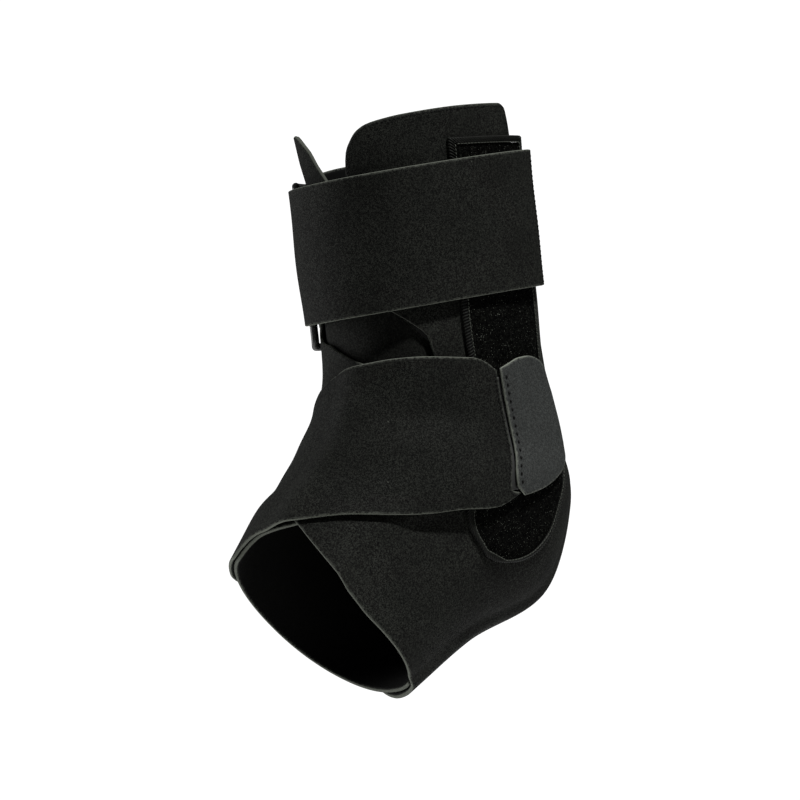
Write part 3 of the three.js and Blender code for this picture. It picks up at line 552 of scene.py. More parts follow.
# %% [markdown]
# One function makes each cloth: a dark and a light tone mixed by the speckle, the paler core on
# the cut edge, the lining on the back, and the grain again as bump. Each material keeps its own
# shader, with its roughness and specular level set on the shader's sockets.

# %% Cloth materials
def placed(tree, group, **inputs):
    """A node group in a material; grains_per_metre= sets its socket Grains per metre."""
    named = {name.replace("_", " ").capitalize(): value for name, value in inputs.items()}
    return node(tree, "ShaderNodeGroup", named, node_tree=group)


def blended(tree, factor, first, second):
    """A colour mix. The colour sockets of a Mix node are its seventh and eighth."""
    made = node(tree, "ShaderNodeMix", None, data_type="RGBA")
    set_inputs(tree, made, {0: factor, 6: first, 7: second})
    return made.outputs[2]


def relief(tree, height, distance, strength):
    inputs = {"Height": height, "Distance": distance, "Strength": strength}
    return node(tree, "ShaderNodeBump", inputs).outputs["Normal"]


def grey(value, blue=0.9):
    """A dyed black is never quite neutral: a little more green, a little less blue."""
    return (value, value * 1.07, value * blue, 1)


def times(colour, factor):
    return (*(value * factor for value in colour[:3]), 1)


def cloth(name, dark, light, core, roughness, lining=0.001, bump=0.00008, specular=0.07):
    material, tree, shader = new_material(name)
    grain = placed(tree, FINE_GRAIN, grains_per_metre=2600.0)
    edge = placed(tree, CUT_EDGE)
    lint = placed(tree, LINT, specks_per_metre=420.0, sparseness=0.8)
    face = blended(tree, grain.outputs["Speckle"], dark, light)
    face = blended(tree, math_node(tree, "MULTIPLY", grain.outputs["Blotch"], 0.35), face, dark)
    face = blended(tree, math_node(tree, "MULTIPLY", lint.outputs["Speck"], 0.6), face, core)
    face = blended(tree, edge.outputs["Backing"], face, grey(lining))
    face = blended(tree, math_node(tree, "MULTIPLY", edge.outputs["Wear"], 0.45), face, core)
    set_inputs(tree, shader, {
        "Base Color": blended(tree, edge.outputs["Core"], face, core),
        "Roughness": ranged(tree, grain.outputs["Speckle"], 0.0, 1.0, roughness + 0.08, roughness - 0.06),
        "Specular IOR Level": specular,
        "Normal": relief(tree, grain.outputs["Height"], bump, 0.6),
    })
    return material


laminate = cloth("laminate", grey(0.001), grey(0.0175), grey(0.07), 0.8)
strap_laminate = cloth("strap_laminate", grey(0.001), grey(0.016), grey(0.09), 0.78)
tongue_cloth = cloth("tongue_cloth", grey(0.002), grey(0.012), grey(0.05), 0.85)
grey_tab = cloth(
    "grey_tab", grey(0.013, 1.02), grey(0.038, 1.02), grey(0.14), 0.7,
    lining=0.006, bump=0.00006, specular=0.1)
print("cloth materials:", laminate.name, strap_laminate.name, tongue_cloth.name, grey_tab.name)

# %% [markdown]
# The outer panel is one cut of laminate: a wing that stands up beside the leg, the side of the
# heel and foot, and laps at the back and under the sole. It lies over the inner panel, so near
# those laps it stands off by one thickness more.

# %% Outer panel
PANEL_WALL = 1.6 * MM
PLY_GAP = 0.4 * MM
LAP_GAP = 0.55 * MM
# place, angle
OUTER_FRONT_EDGE = [
    (0.8, 22.5), (1.6, 25), (2.35, 30), (2.53, 33.5), (2.65, 41), (2.77, 51.5), (2.93, 61),
    (3.4, 64), (4, 60), (5, 49), (6, 37), (7.27, 21),
]
OUTER_BACK_EDGE = [(0.8, 190), (5, 192), (8, 212)]
INNER_FRONT_EDGE = [
    (0.85, -42), (2.1, -42), (2.42, -36), (2.6, -26), (2.7, -17), (2.79, -8), (2.92, -1),
    (3.15, 12.8), (3.4, 27), (3.7, 41), (4, 53), (4.3, 59), (4.7, 61), (5.2, 59), (6, 54), (7, 48),
    (8, 46),
]
INNER_BACK_EDGE = [(0.8, -188), (5, -190), (8, -210)]
# angle, place
OUTER_TOP_EDGE = [
    (22.5, 0.8), (24, 0.55), (27.5, 0.41), (32, 0.31), (38, 0.25), (46, 0.215), (58, 0.18),
    (96, 0.12), (111, 0.115), (115, 0.16), (117, 0.3), (119.5, 0.7), (124, 1.1), (134, 1.25),
    (215, 1.3),
]
OUTER_RIM = [
    (20, 7.24), (22, 7.27), (37, 7.53), (55, 7.77), (71, 7.93), (86, 8), (170, 8), (192, 7.9),
    (215, 7.6),
]


def outer_panel_off(at, angle):
    past_inner_edge = angle - follow(INNER_FRONT_EDGE, at)
    front_lap = (1 - smooth(9, 22, past_inner_edge)) * smooth(3, 3.6, at)
    back_lap = smooth(-14, -3, angle - 360 - follow(INNER_BACK_EDGE, at))
    return (PANEL_WALL + LAP_GAP) * np.maximum(front_lap, back_lap)


def outer_panel_place(u, v):
    first, last = OUTER_FRONT_EDGE[0][0], OUTER_FRONT_EDGE[-1][0]
    front = follow(OUTER_FRONT_EDGE, mix(first, last, v))
    back = follow(OUTER_BACK_EDGE, mix(first, LAST_SECTION, v))
    angle = mix(front, back, u)
    at = mix(follow(OUTER_TOP_EDGE, angle), follow(OUTER_RIM, angle), v)
    return at, angle, outer_panel_off(at, angle)


outer_columns = stretched((22.5, 42, 20), (42, 111, 40), (111, 124, 24), (124, 190, 30))
outer_panel = wrapped_sheet(
    "outer_panel_cloth", outer_columns, np.linspace(0, 1, 170), PANEL_WALL, outer_panel_place,
    [laminate])
adopt(outer_panel, "laminate", "outer_panel")

# %% [markdown]
# The inner panel wraps the ankle's inner side and the instep and ends under the outer panel.
# It is the same laminate, cut lower at the top because the leg strap covers it.

# %% Inner panel
INNER_TOP_EDGE = [
    (-190, 1.3), (-155, 1.22), (-146, 1), (-138, 0.7), (-130, 0.56), (-100, 0.53), (-80, 0.575),
    (-64, 0.63), (-52, 0.69), (-46, 0.76), (-42, 0.88),
]
INNER_RIM = [
    (-215, 7.97), (-24, 7.97), (-13, 7.79), (-4, 7.61), (7, 7.47), (17, 7.34), (27, 7.17),
    (50, 7.05),
]


def inner_panel_place(u, v):
    place = mix(INNER_FRONT_EDGE[0][0], LAST_SECTION, v)
    angle = mix(follow(INNER_FRONT_EDGE, place), follow(INNER_BACK_EDGE, place), u)
    top = follow(INNER_TOP_EDGE, np.minimum(angle, INNER_FRONT_EDGE[0][1]))
    at = mix(top, follow(INNER_RIM, angle), v)
    return at, angle, np.zeros_like(at)


inner_panel = wrapped_sheet(
    "inner_panel_cloth", np.linspace(0, 1, 120), np.linspace(0, 1, 170), PANEL_WALL,
    inner_panel_place, [laminate])
adopt(inner_panel, "laminate", "inner_panel")
declare_sheet(inner_panel)
declare_sheet(outer_panel)

# %% [markdown]
# The tongue is a soft padded tail between the two front edges. Its tip stands up above the strap
# and leans away from the leg. A pad is fuller in the middle than at its edges, so the wall swells
# a little towards the middle of each row.

# %% Tongue
TONGUE_WALL = 1.8 * MM
TONGUE_GAP = 0.8 * MM
TONGUE_LEAN = 3 * MM
TONGUE_OUTER_EDGE = [
    (0.25, -20), (0.29, -15), (0.36, -10), (0.46, -5), (0.62, -1.5), (0.8, 3), (1.3, 16), (2, 33),
    (2.6, 54), (3, 70), (4.2, 76),
]
TONGUE_INNER_EDGE = [
    (0.25, -28), (0.29, -33), (0.36, -38), (0.5, -42), (0.7, -44), (1, -50), (2, -54), (4.2, -52),
]
# place, share of the lean
TONGUE_LIFT = [(0.25, 1), (0.55, 0.6), (0.7, 0.3), (0.82, 0.1), (1, 0), (4.2, 0)]


def tongue_place(u, v):
    at = mix(TONGUE_OUTER_EDGE[0][0], TONGUE_OUTER_EDGE[-1][0], v ** 1.2)
    angle = mix(follow(TONGUE_INNER_EDGE, at), follow(TONGUE_OUTER_EDGE, at), u)
    return at, angle, TONGUE_LEAN * follow(TONGUE_LIFT, at) - TONGUE_WALL - TONGUE_GAP


tongue = wrapped_sheet(
    "tongue_pad", np.linspace(0, 1, 60), np.linspace(0, 1, 110), TONGUE_WALL, tongue_place,
    [tongue_cloth],
    padding=1.2 * MM, bulge=0.6 * MM)
adopt(tongue, "tongue_cloth", "tongue")

# %% [markdown]
# The pile field is a knitted loop tape, sewn on the outer side and bound round its edge. Its nap
# is real geometry here: a thin backing, and on it thousands of short bent fibres, each a tapered
# tube with three sides. A helper makes many tubes at once from arrays of their middle lines, and
# the same helper later makes every stitch.

# %% Many small tubes in one mesh
def tube_mesh(name, paths, normals, radius, sides, materials):
    """Joined tubes: paths and normals are (tubes, steps, 3), radius is (tubes, steps) or a number."""
    paths = np.asarray(paths, float)
    count, steps = paths.shape[:2]
    normals = np.broadcast_to(normals, paths.shape)
    radius = np.broadcast_to(radius, (count, steps))[..., None, None]
    along = np.gradient(paths, axis=1)
    along /= np.maximum(np.linalg.norm(along, axis=2, keepdims=True), 1e-12)
    sideways = np.cross(along, normals)
    sideways /= np.maximum(np.linalg.norm(sideways, axis=2, keepdims=True), 1e-12)
    upright = np.cross(sideways, along)
    turn = 2 * np.pi * np.arange(sides) / sides
    ring = np.cos(turn)[:, None] * sideways[:, :, None] + np.sin(turn)[:, None] * upright[:, :, None]
    points = (paths[:, :, None] + radius * ring).reshape(-1, 3)
    index = np.arange(count * steps * sides).reshape(count, steps, sides)
    following = np.roll(index, -1, axis=2)
    walls = np.stack([index[:, :-1], following[:, :-1], following[:, 1:], index[:, 1:]], axis=-1)
    faces = [tuple(face) for face in walls.reshape(-1, 4)]
    faces += [tuple(face) for face in index[:, 0, ::-1]]
    faces += [tuple(face) for face in index[:, -1]]
    piece = mesh_object(name, points, faces, materials)
    print(f"{name}: {count} tubes, {len(piece.data.polygons)} faces")
    return piece


def unit(vectors):
    return vectors / np.maximum(np.linalg.norm(vectors, axis=-1, keepdims=True), 1e-12)


# %% [markdown]
# Thread and nap need their own finishes: a twisted thread is a little glossier, and the nap is almost
# black with a few pale fibre ends and caught lint.

# %% Thread, pile, webbing, hook and plastic finishes
def thread_finish(name, colour):
    material, tree, shader = new_material(name)
    grain = placed(tree, FINE_GRAIN, grains_per_metre=3500.0)
    set_inputs(tree, shader, {
        "Base Color": blended(tree, grain.outputs["Speckle"], times(colour, 0.5), colour),
        "Roughness": 0.6,
        "Specular IOR Level": 0.12,
    })
    return material


def pile_finish(name, dark, light, fleck):
    material, tree, shader = new_material(name)
    grain = placed(tree, FINE_GRAIN, grains_per_metre=1500.0)
    lint = placed(tree, LINT, specks_per_metre=2600.0, sparseness=0.71)
    base = blended(tree, grain.outputs["Speckle"], dark, light)
    set_inputs(tree, shader, {
        "Base Color": blended(tree, lint.outputs["Speck"], base, fleck),
        "Roughness": 0.95,
        "Specular IOR Level": 0.03,
        "Normal": relief(tree, grain.outputs["Height"], 0.0004, 0.8),
    })
    return material


def wave(tree, length, pitch):
    """A sine over a length of the cloth, one turn in each pitch."""
    return math_node(tree, "SINE", math_node(tree, "MULTIPLY", length, 2 * math.pi / pitch))


def webbing_finish(name, colour):
    """Ribs of a woven tape, from the cloth's own lengths."""
    material, tree, shader = new_material(name)
    lengths = node(tree, "ShaderNodeAttribute", attribute_name="cloth").outputs["Vector"]
    split = node(tree, "ShaderNodeSeparateXYZ", {"Vector": lengths}).outputs
    crossing = math_node(tree, "MULTIPLY", wave(tree, split["X"], 0.0011), wave(tree, split["Y"], 0.0009))
    weave = math_node(tree, "MULTIPLY_ADD", crossing, 0.5, 0.5)
    grain = placed(tree, FINE_GRAIN, grains_per_metre=3000.0)
    shade = math_node(tree, "MULTIPLY", weave, grain.outputs["Speckle"])
    set_inputs(tree, shader, {
        "Base Color": blended(tree, shade, times(colour, 0.35), colour),
        "Roughness": 0.7,
        "Specular IOR Level": 0.3,
        "Normal": relief(tree, weave, 0.0003, 0.7),
    })
    return material


def plastic_finish(name, colour, roughness):
    material, tree, shader = new_material(name)
    grain = placed(tree, FINE_GRAIN, grains_per_metre=1200.0)
    scuffs = math_node(tree, "MULTIPLY", grain.outputs["Blotch"], 0.4)
    set_inputs(tree, shader, {
        "Base Color": blended(tree, scuffs, colour, times(colour, 2.2)),
        "Roughness": ranged(tree, grain.outputs["Blotch"], 0.0, 1.0, roughness - 0.05, roughness + 0.12),
        "Normal": relief(tree, grain.outputs["Height"], 0.00003, 0.5),
    })
    return material


black_thread = thread_finish("black_thread", grey(0.001))
dark_thread = thread_finish("dark_thread", grey(0.016))
pale_thread = thread_finish("pale_thread", grey(0.07))
loop_pile = pile_finish("loop_pile", grey(0.0003), grey(0.004), grey(0.16))
webbing = webbing_finish("webbing", grey(0.02))
hook_tape = plastic_finish("hook_tape", grey(0.004), 0.6)
ring_plastic = plastic_finish("ring_plastic", grey(0.006), 0.38)

# %% [markdown]
# The field's outline is a long strip with a rounded lower end. Any smaller outline inside it is
# the same two edges brought in by a distance, so backing, binding and nap share one function.

# %% Pile field
PILE_WALL = 1.2 * MM
BINDING_WIDTH = 2.3 * MM
PILE_BACKING = 0.6 * MM
NAP_FIBRES = 14000
ON_PANEL = PANEL_WALL + PLY_GAP
# place, angle
PILE_FRONT_EDGE = [
    (0.47, 79.5), (2.4, 79), (3, 80), (5, 80.5), (5.6, 82.5), (5.9, 88), (6.05, 94), (6.17, 100),
]
PILE_BACK_EDGE = [
    (0.47, 127), (1.6, 129), (3, 131.5), (4.38, 132), (4.72, 129.5), (5.07, 128), (5.43, 126.5),
    (5.7, 122.5), (5.95, 116), (6.1, 109.5), (6.17, 105),
]


def pile_off(at, angle):
    return outer_panel_off(at, angle) + ON_PANEL


def pile_place(u, v, inset):
    first, last = PILE_FRONT_EDGE[0][0], PILE_FRONT_EDGE[-1][0]
    plain = mix(first, last, v)
    front, back = follow(PILE_FRONT_EDGE, plain), follow(PILE_BACK_EDGE, plain)
    middle = (front + back) / 2
    step = 0.2
    span = hollow_point(plain + step, middle) - hollow_point(plain - step, middle)
    slide = inset / (np.linalg.norm(span, axis=-1) / (2 * step))
    turn_in = degrees_across(inset, plain, middle)
    at = np.minimum(np.maximum(plain, first + slide), last - slide)
    return at, mix(front + turn_in, back - turn_in, u)


def pile_backing_place(u, v):
    at, angle = pile_place(u, v, BINDING_WIDTH + PLY_GAP)
    return at, angle, pile_off(at, angle)


pile_backing = wrapped_sheet(
    "pile_field", np.linspace(0, 1, 40), np.linspace(0, 1, 110), PILE_BACKING, pile_backing_place,
    [loop_pile])
adopt(pile_backing, "loop_pile", "pile_strip")

# %% [markdown]
# Each fibre starts in the backing, rises and bends over, its tip thinner than its foot. Lean and
# bend are drawn at random, but neighbours share a slow drift, as brushed nap does.

# %% Nap of the pile field
NAP_HEIGHT = 0.62 * MM
NAP_RADIUS = 0.085 * MM

nap_u = random.uniform(0.01, 0.99, NAP_FIBRES)
nap_v = random.uniform(0.004, 0.996, NAP_FIBRES)
nap_at, nap_angle, nap_off = pile_backing_place(nap_u, nap_v)
nap_foot = skin(nap_at, nap_angle, nap_off + PILE_BACKING)
nap_up = hollow_normal(nap_at, nap_angle)
drift = 6 * np.pi * nap_v + 3 * np.sin(9 * nap_u) + random.normal(0, 0.9, NAP_FIBRES)
side_step = unit(np.cross(nap_up, np.array([0, 0, 1.0])))
down_step = np.cross(nap_up, side_step)
lean = side_step * np.cos(drift)[:, None] + down_step * np.sin(drift)[:, None]
nap_lean = random.uniform(0.25, 0.75, NAP_FIBRES)[:, None] * MM
nap_rise = NAP_HEIGHT * random.uniform(0.55, 1.0, NAP_FIBRES)[:, None]
nap_paths = np.stack([
    nap_foot - nap_up * 0.08 * MM,
    nap_foot + nap_up * nap_rise * 0.65 + lean * nap_lean * 0.35,
    nap_foot + nap_up * nap_rise + lean * nap_lean,
], axis=1)
nap_thickness = NAP_RADIUS * np.array([1.0, 0.8, 0.3]) * random.uniform(0.7, 1.2, NAP_FIBRES)[:, None]
nap = tube_mesh("pile_nap", nap_paths, nap_up[:, None], nap_thickness, 3, [loop_pile])
adopt(nap, "loop_pile")

# %% [markdown]
# The binding is a narrow folded tape round the field, overlocked: slanted threads run over it at
# every millimetre, and a chain of paler thread lies along its inner edge.

# %% Pile binding and its threads
def pile_outline(inset, count):
    """Even steps round the field's outline at a distance in from it: place, angle, whole length."""
    v, u = np.linspace(0, 1, 400), np.linspace(0, 1, 60)
    sides = np.concatenate([
        np.stack([0 * v, v], 1), np.stack([u, 0 * u + 1], 1),
        np.stack([0 * v + 1, v[::-1]], 1), np.stack([u[::-1], 0 * u], 1),
    ])
    at, angle = pile_place(sides[:, 0], sides[:, 1], inset)
    points = skin(at, angle, pile_off(at, angle))
    gaps = np.linalg.norm(np.roll(points, -1, axis=0) - points, axis=1)
    run_length = np.concatenate([[0], np.cumsum(gaps)])
    even = np.linspace(0, run_length[-1], count, endpoint=False)
    share = np.interp(even, run_length[:-1], np.arange(len(sides)))
    whole = np.floor(share).astype(int) % len(sides)
    after = (whole + 1) % len(sides)
    t = share - np.floor(share)
    return mix(at[whole], at[after], t), mix(angle[whole], angle[after], t), run_length[-1]


def binding_line(share, height, count):
    """Points along the binding: a share of its width in, and of the pile's wall up."""
    at, angle, _ = pile_outline(share * BINDING_WIDTH, count)
    return skin(at, angle, pile_off(at, angle) + PILE_WALL * height)


def closed_tube(name, rings, materials):
    """A ring-shaped tube through a closed loop of section rings, (steps, sides, 3)."""
    steps, sides = rings.shape[:2]
    index = np.arange(steps * sides).reshape(steps, sides)
    on, around = np.roll(index, -1, axis=0), np.roll(index, -1, axis=1)
    faces = np.stack([index, around, np.roll(on, -1, axis=1), on], axis=-1).reshape(-1, 4)
    centre = rings.mean(axis=1)
    facing = np.cross(rings[:, 1] - rings[:, 0], np.roll(centre, -1, axis=0) - centre)
    if (facing * (rings[:, 0] - centre)).sum() < 0:
        faces = faces[:, ::-1]
    return mesh_object(name, rings.reshape(-1, 3), faces, materials)


BINDING_STEPS = 420
BINDING_CROWN = [0, 0.3, 0.62, 0.85, 1.0, 0.85, 0.62, 0.3, 0]
crown_shares = np.linspace(0, 1, len(BINDING_CROWN))
binding_lines = [
    binding_line(share, 0.62 + 0.3 * height, BINDING_STEPS)
    for share, height in zip(crown_shares, BINDING_CROWN)
]
binding_lines += [binding_line(share, 0, BINDING_STEPS) for share in (1, 0)]
binding = closed_tube("pile_binding_tape", np.stack(binding_lines, axis=1), [black_thread])
adopt(binding, "binding_thread", "pile_binding")

OVERLOCK_PITCH = 1.15 * MM
OVERLOCK_SLANT = 0.18
OVERLOCK_THICKNESS = 0.17 * MM
# share of the binding's width, height
OVERLOCK_CROSSING = [(-0.08, 0.25), (0.1, 0.95), (0.5, 1.12), (0.9, 0.95), (1.06, 0.4)]
loops = round(pile_outline(0, 700)[2] / OVERLOCK_PITCH)
straight = np.stack(
    [binding_line(share, 0.05 + 0.95 * height, loops) for share, height in OVERLOCK_CROSSING], axis=1)
slant = OVERLOCK_SLANT * np.arange(len(OVERLOCK_CROSSING))[:, None]
overlock_up = hollow_normal(*pile_outline(BINDING_WIDTH / 2, loops)[:2])
overlock = tube_mesh(
    "pile_binding_threads", mix(straight, np.roll(straight, 1, axis=0), slant), overlock_up[:, None],
    OVERLOCK_THICKNESS, 5, [dark_thread])
adopt(overlock, "binding_thread")

# %% [markdown]
# The leg strap starts on the outer side, runs forward under the ring's free bar, folds back over
# it and closes over the pile. One path of (angle, stand-off) describes its middle line: out, half
# a turn round the bar, and back. Each row across the strap follows the same path at its own
# height, so the strap stays one straight band although the leg tapers.

# %% Leg strap
STRAP_WALL = 1.3 * MM
HOOK_WALL = 0.7 * MM
STRAP_WIDTH = 51 * MM
STRAP_DROP = 50.6 * MM
STRAP_LEVEL = LEG_HEIGHT - STRAP_DROP
STRAP_SLOPE = 0.075
STRAP_TILT = 0.025
STRAP_ROOT_ANGLE = 76
STRAP_END_ANGLE = 129
STRAP_END_LIFT = 1.4 * MM
# the place down the hollow where a band's own level is read
BAND_PLACE = 1.3
RING_BAR = 3.0 * MM
RING_PLAY = 3.7 * MM
RING_LENGTH = STRAP_WIDTH + 2 * RING_PLAY + RING_BAR
RING_DROP = 3.6 * MM
RING_LEVEL = STRAP_LEVEL - STRAP_SLOPE * LEG_FRONT - RING_DROP
RING_FREE_ANGLE = -30
RING_HELD_ANGLE = -60
ON_PILE = ON_PANEL + PILE_WALL + PLY_GAP
STRAP_OFF = ON_PILE + HOOK_WALL + PLY_GAP
RING_RADIUS = RING_BAR / 2
RING_FREE_OFF = PANEL_WALL + PLY_GAP + RING_RADIUS
FOLD_RADIUS = RING_RADIUS + PLY_GAP + STRAP_WALL / 2


def folded_path(lower, bar, upper, fold_steps):
    """Rows of (angle, stand-off) out along the skin, round a bar and back."""
    bar_angle, bar_off, radius = bar
    side = np.sign(bar_angle - lower[0][0])
    turns = np.linspace(0, math.pi, fold_steps)
    reach = radius * np.sin(turns)
    level_skin = skin_at_height(RING_LEVEL, np.array([bar_angle - 0.5, bar_angle + 0.5]), 0.0)
    per_degree = np.linalg.norm(level_skin[1] - level_skin[0])
    fold = np.stack([bar_angle + side * reach / per_degree, bar_off - radius * np.cos(turns)], axis=1)
    return np.concatenate([lower, fold, upper])


def folded_strip(name, path, wall, heights, lift, materials):
    """A band along a folded path: heights is a level(place, share) and how many rows."""
    angle, off = path.T
    middle = skin_at_height(RING_LEVEL, angle, off)
    share = np.linspace(0, 1, heights[1])[:, None]
    run_share = np.linspace(0, 1, len(path))[None, :]
    level = heights[0](middle[None, :], share)
    line = skin_at_height(level, angle[None, :], off[None, :] + lift(run_share, share))
    along = np.gradient(line, axis=1)
    normal = unit(np.cross(np.array([0, 0, 1.0]), along))
    return closed_sheet(name, line - normal * wall / 2, line + normal * wall / 2, materials)


under_bar = RING_FREE_OFF - FOLD_RADIUS
over_bar = RING_FREE_OFF + FOLD_RADIUS
lower_angles = np.linspace(STRAP_ROOT_ANGLE, RING_FREE_ANGLE + 2.5, 50)
onto_panel = smooth(RING_FREE_ANGLE + 10, 22, lower_angles)
lower_run = np.stack([lower_angles, mix(under_bar, ON_PANEL + STRAP_WALL / 2, onto_panel)], axis=1)
upper_angles = np.linspace(RING_FREE_ANGLE, STRAP_END_ANGLE, 121)[1:]
onto_pile = smooth(RING_FREE_ANGLE, 60, upper_angles)
upper_run = np.stack([upper_angles, mix(over_bar, STRAP_OFF + STRAP_WALL / 2, onto_pile)], axis=1)
strap_path = folded_path(lower_run, (RING_FREE_ANGLE, RING_FREE_OFF, FOLD_RADIUS), upper_run, 18)


def strap_level(place, share):
    middle = STRAP_LEVEL + STRAP_SLOPE * place[..., 1] + STRAP_TILT * place[..., 0]
    return middle + STRAP_WIDTH * (0.5 - share)


def strap_end_lift(run_share, share):
    return STRAP_END_LIFT * smooth(0.86, 1, run_share) * share


upper_strap = folded_strip(
    "leg_strap", strap_path, STRAP_WALL, (strap_level, 60), strap_end_lift, [strap_laminate])
adopt(upper_strap, "strap_laminate", "upper_strap")
declare_sheet(upper_strap)

# %% [markdown]
# The ring is a moulded loop with round bars: two upright bars and two short ones bent to the
# leg. It is swept as one closed tube, and its free bar carries the strap's fold.

# %% Ring
WEBBING_WALL = 0.9 * MM
RING_HELD_OFF = ON_PANEL + WEBBING_WALL + PLY_GAP + RING_RADIUS
RING_SIDES = 20


def ring_path():
    """Steps round the ring: share of the way from the free bar to the held one, and height."""
    middle_angle = (RING_HELD_ANGLE + RING_FREE_ANGLE) / 2
    pair = skin_at_height(RING_LEVEL, np.array([middle_angle - 0.5, middle_angle + 0.5]), 0.0)
    width = abs(RING_HELD_ANGLE - RING_FREE_ANGLE) * np.linalg.norm(pair[1] - pair[0])
    share = RING_BAR / width
    reach = RING_LENGTH / 2 - RING_BAR
    arcs = []
    corners = ((1 - share, reach), (share, reach), (share, -reach), (1 - share, -reach))
    for k, (across, up) in enumerate(corners):
        turn = (k + np.linspace(0, 1, 9)) * math.pi / 2
        arcs.append(np.stack([across + share * np.cos(turn), up + RING_BAR * np.sin(turn)], axis=1))
    steps = []
    between = np.linspace(0, 1, 10)[1:-1, None]
    for arc, following in zip(arcs, arcs[1:] + arcs[:1]):
        steps += [arc, mix(arc[-1], following[0], between)]
    return np.concatenate(steps)


ring_steps = ring_path()
ring_angle = mix(RING_FREE_ANGLE, RING_HELD_ANGLE, ring_steps[:, 0])
ring_off = mix(RING_FREE_OFF, RING_HELD_OFF, ring_steps[:, 0])
ring_line = skin_at_height(RING_LEVEL + ring_steps[:, 1], ring_angle, ring_off)
ring_along = unit(np.roll(ring_line, -1, axis=0) - np.roll(ring_line, 1, axis=0))
ring_middle = skin_at_height(RING_LEVEL, (RING_HELD_ANGLE + RING_FREE_ANGLE) / 2, 0.0)
ring_out = unit(ring_middle * np.array([1, 1, 0]))
ring_side = unit(np.cross(ring_along, ring_out))
ring_up = np.cross(ring_side, ring_along)
ring_turn = 2 * np.pi * (np.arange(RING_SIDES) + 0.5) / RING_SIDES
ring_cos, ring_sin = np.cos(ring_turn)[:, None], np.sin(ring_turn)[:, None]
ring_section = ring_cos * ring_side[:, None] + ring_sin * ring_up[:, None]
ring = closed_tube("ring", ring_line[:, None] + RING_RADIUS * ring_section, [ring_plastic])
adopt(ring, "ring_plastic", "strap_ring")
print("ring steps:", len(ring_line))

# %% [markdown]
# A short tab of webbing goes round the ring's held bar and is sewn down on the inner panel. It
# is the same folded path as the strap, on the other bar.

# %% Ring tab
RING_TAB_WIDTH = 46 * MM
RING_TAB_ANGLE = -84
TAB_FOLD_RADIUS = RING_RADIUS + PLY_GAP + WEBBING_WALL / 2
webbing_lower = np.linspace(RING_TAB_ANGLE, RING_HELD_ANGLE, 24)[:-1]
webbing_upper = np.linspace(RING_HELD_ANGLE, RING_TAB_ANGLE, 24)[1:]
on_panel = ON_PANEL + WEBBING_WALL / 2
onto_bar = smooth(RING_TAB_ANGLE + 8, RING_HELD_ANGLE, webbing_upper)
webbing_over = mix(on_panel + WEBBING_WALL + PLY_GAP, RING_HELD_OFF + TAB_FOLD_RADIUS, onto_bar)
webbing_path = folded_path(
    np.stack([webbing_lower, np.full(len(webbing_lower), on_panel)], axis=1),
    (RING_HELD_ANGLE, RING_HELD_OFF, TAB_FOLD_RADIUS),
    np.stack([webbing_upper, webbing_over], axis=1), 14)


def webbing_level(place, share):
    return RING_LEVEL + RING_TAB_WIDTH * (0.5 - share) + 0 * place[..., 0]


ring_tab = folded_strip(
    "ring_tab_webbing", webbing_path, WEBBING_WALL, (webbing_level, 40),
    lambda run_share, share: 0.0, [webbing])
adopt(ring_tab, "webbing", "ring_tab")
declare_sheet(ring_tab)

# %% [markdown]
# The instep strap is a broad shaped piece: it starts along the inner rim of the foot, crosses the
# instep and ends on the outer side over the pile. Its lower edge stands a little off the foot on
# the outer side, which gives the dark shadow line under it.

# %% Instep strap
INSTEP_STAND_OFF = 1.1 * MM
# angle, place
LOWER_TOP_EDGE = [
    (-86, 6.2), (-60, 5.2), (-35, 4.4), (-18, 3.85), (-7, 3.5), (4, 3.28), (14, 3.16), (28, 3.07),
    (42, 3), (58, 2.965), (80, 2.97), (86, 3.02), (91, 3.13),
]
LOWER_BOTTOM_EDGE = [
    (-86, 7.5), (-64, 7.85), (-45, 8), (-22, 8), (-13, 7.82), (-4, 7.64), (7, 7.5), (17, 7.37),
    (27, 7.23), (49, 6.72), (66, 6.07), (79, 5.67), (90, 5.47), (97, 5.2),
]
# place, angle
LOWER_END_EDGE = [(3.1, 90.5), (3.8, 90.7), (4.8, 91.3), (5.05, 93), (5.22, 97)]


def end_place(v):
    return mix(LOWER_END_EDGE[0][0], LOWER_END_EDGE[-1][0], v)


def lower_strap_off(angle, v):
    off = mix(PANEL_WALL + LAP_GAP, STRAP_OFF, smooth(2, 20, angle))
    on_side = smooth(30, 60, angle) * (1 - smooth(80, 96, angle))
    return off + INSTEP_STAND_OFF * smooth(0.6, 1, v) * on_side


def lower_strap_place(u, v):
    end_angle = follow(LOWER_END_EDGE, end_place(v))
    angle = mix(LOWER_TOP_EDGE[0][0], end_angle, u)
    top = follow(LOWER_TOP_EDGE, np.minimum(angle, LOWER_TOP_EDGE[-1][0]))
    at = mix(top, follow(LOWER_BOTTOM_EDGE, angle), v)
    return at, angle, lower_strap_off(angle, v)


lower_strap = wrapped_sheet(
    "instep_strap", np.linspace(0, 1, 170), np.linspace(0, 1, 80), STRAP_WALL, lower_strap_place,
    [strap_laminate])
adopt(lower_strap, "strap_laminate", "lower_strap")
declare_sheet(lower_strap)

# %% [markdown]
# A lighter grey tab is butted on behind the strap's end, over the same hook tape. The hook tape
# shows as the dark line between them.

# %% Grey tab and hook tapes
TAB_WALL = 1.4 * MM
TAB_SEAM = 2.3 * MM
TAB_BACK_ANGLE = 127.5
# angle, place
TAB_TOP_EDGE = [
    (90, 3.14), (97.5, 3.03), (104, 2.95), (112, 2.92), (119, 2.95), (124.5, 3.05), (127.5, 3.35),
]
TAB_BOTTOM_EDGE = [
    (90, 5.35), (97.5, 5.23), (108, 5.02), (115, 4.83), (121, 4.62), (125.5, 4.35), (127.5, 4.05),
]


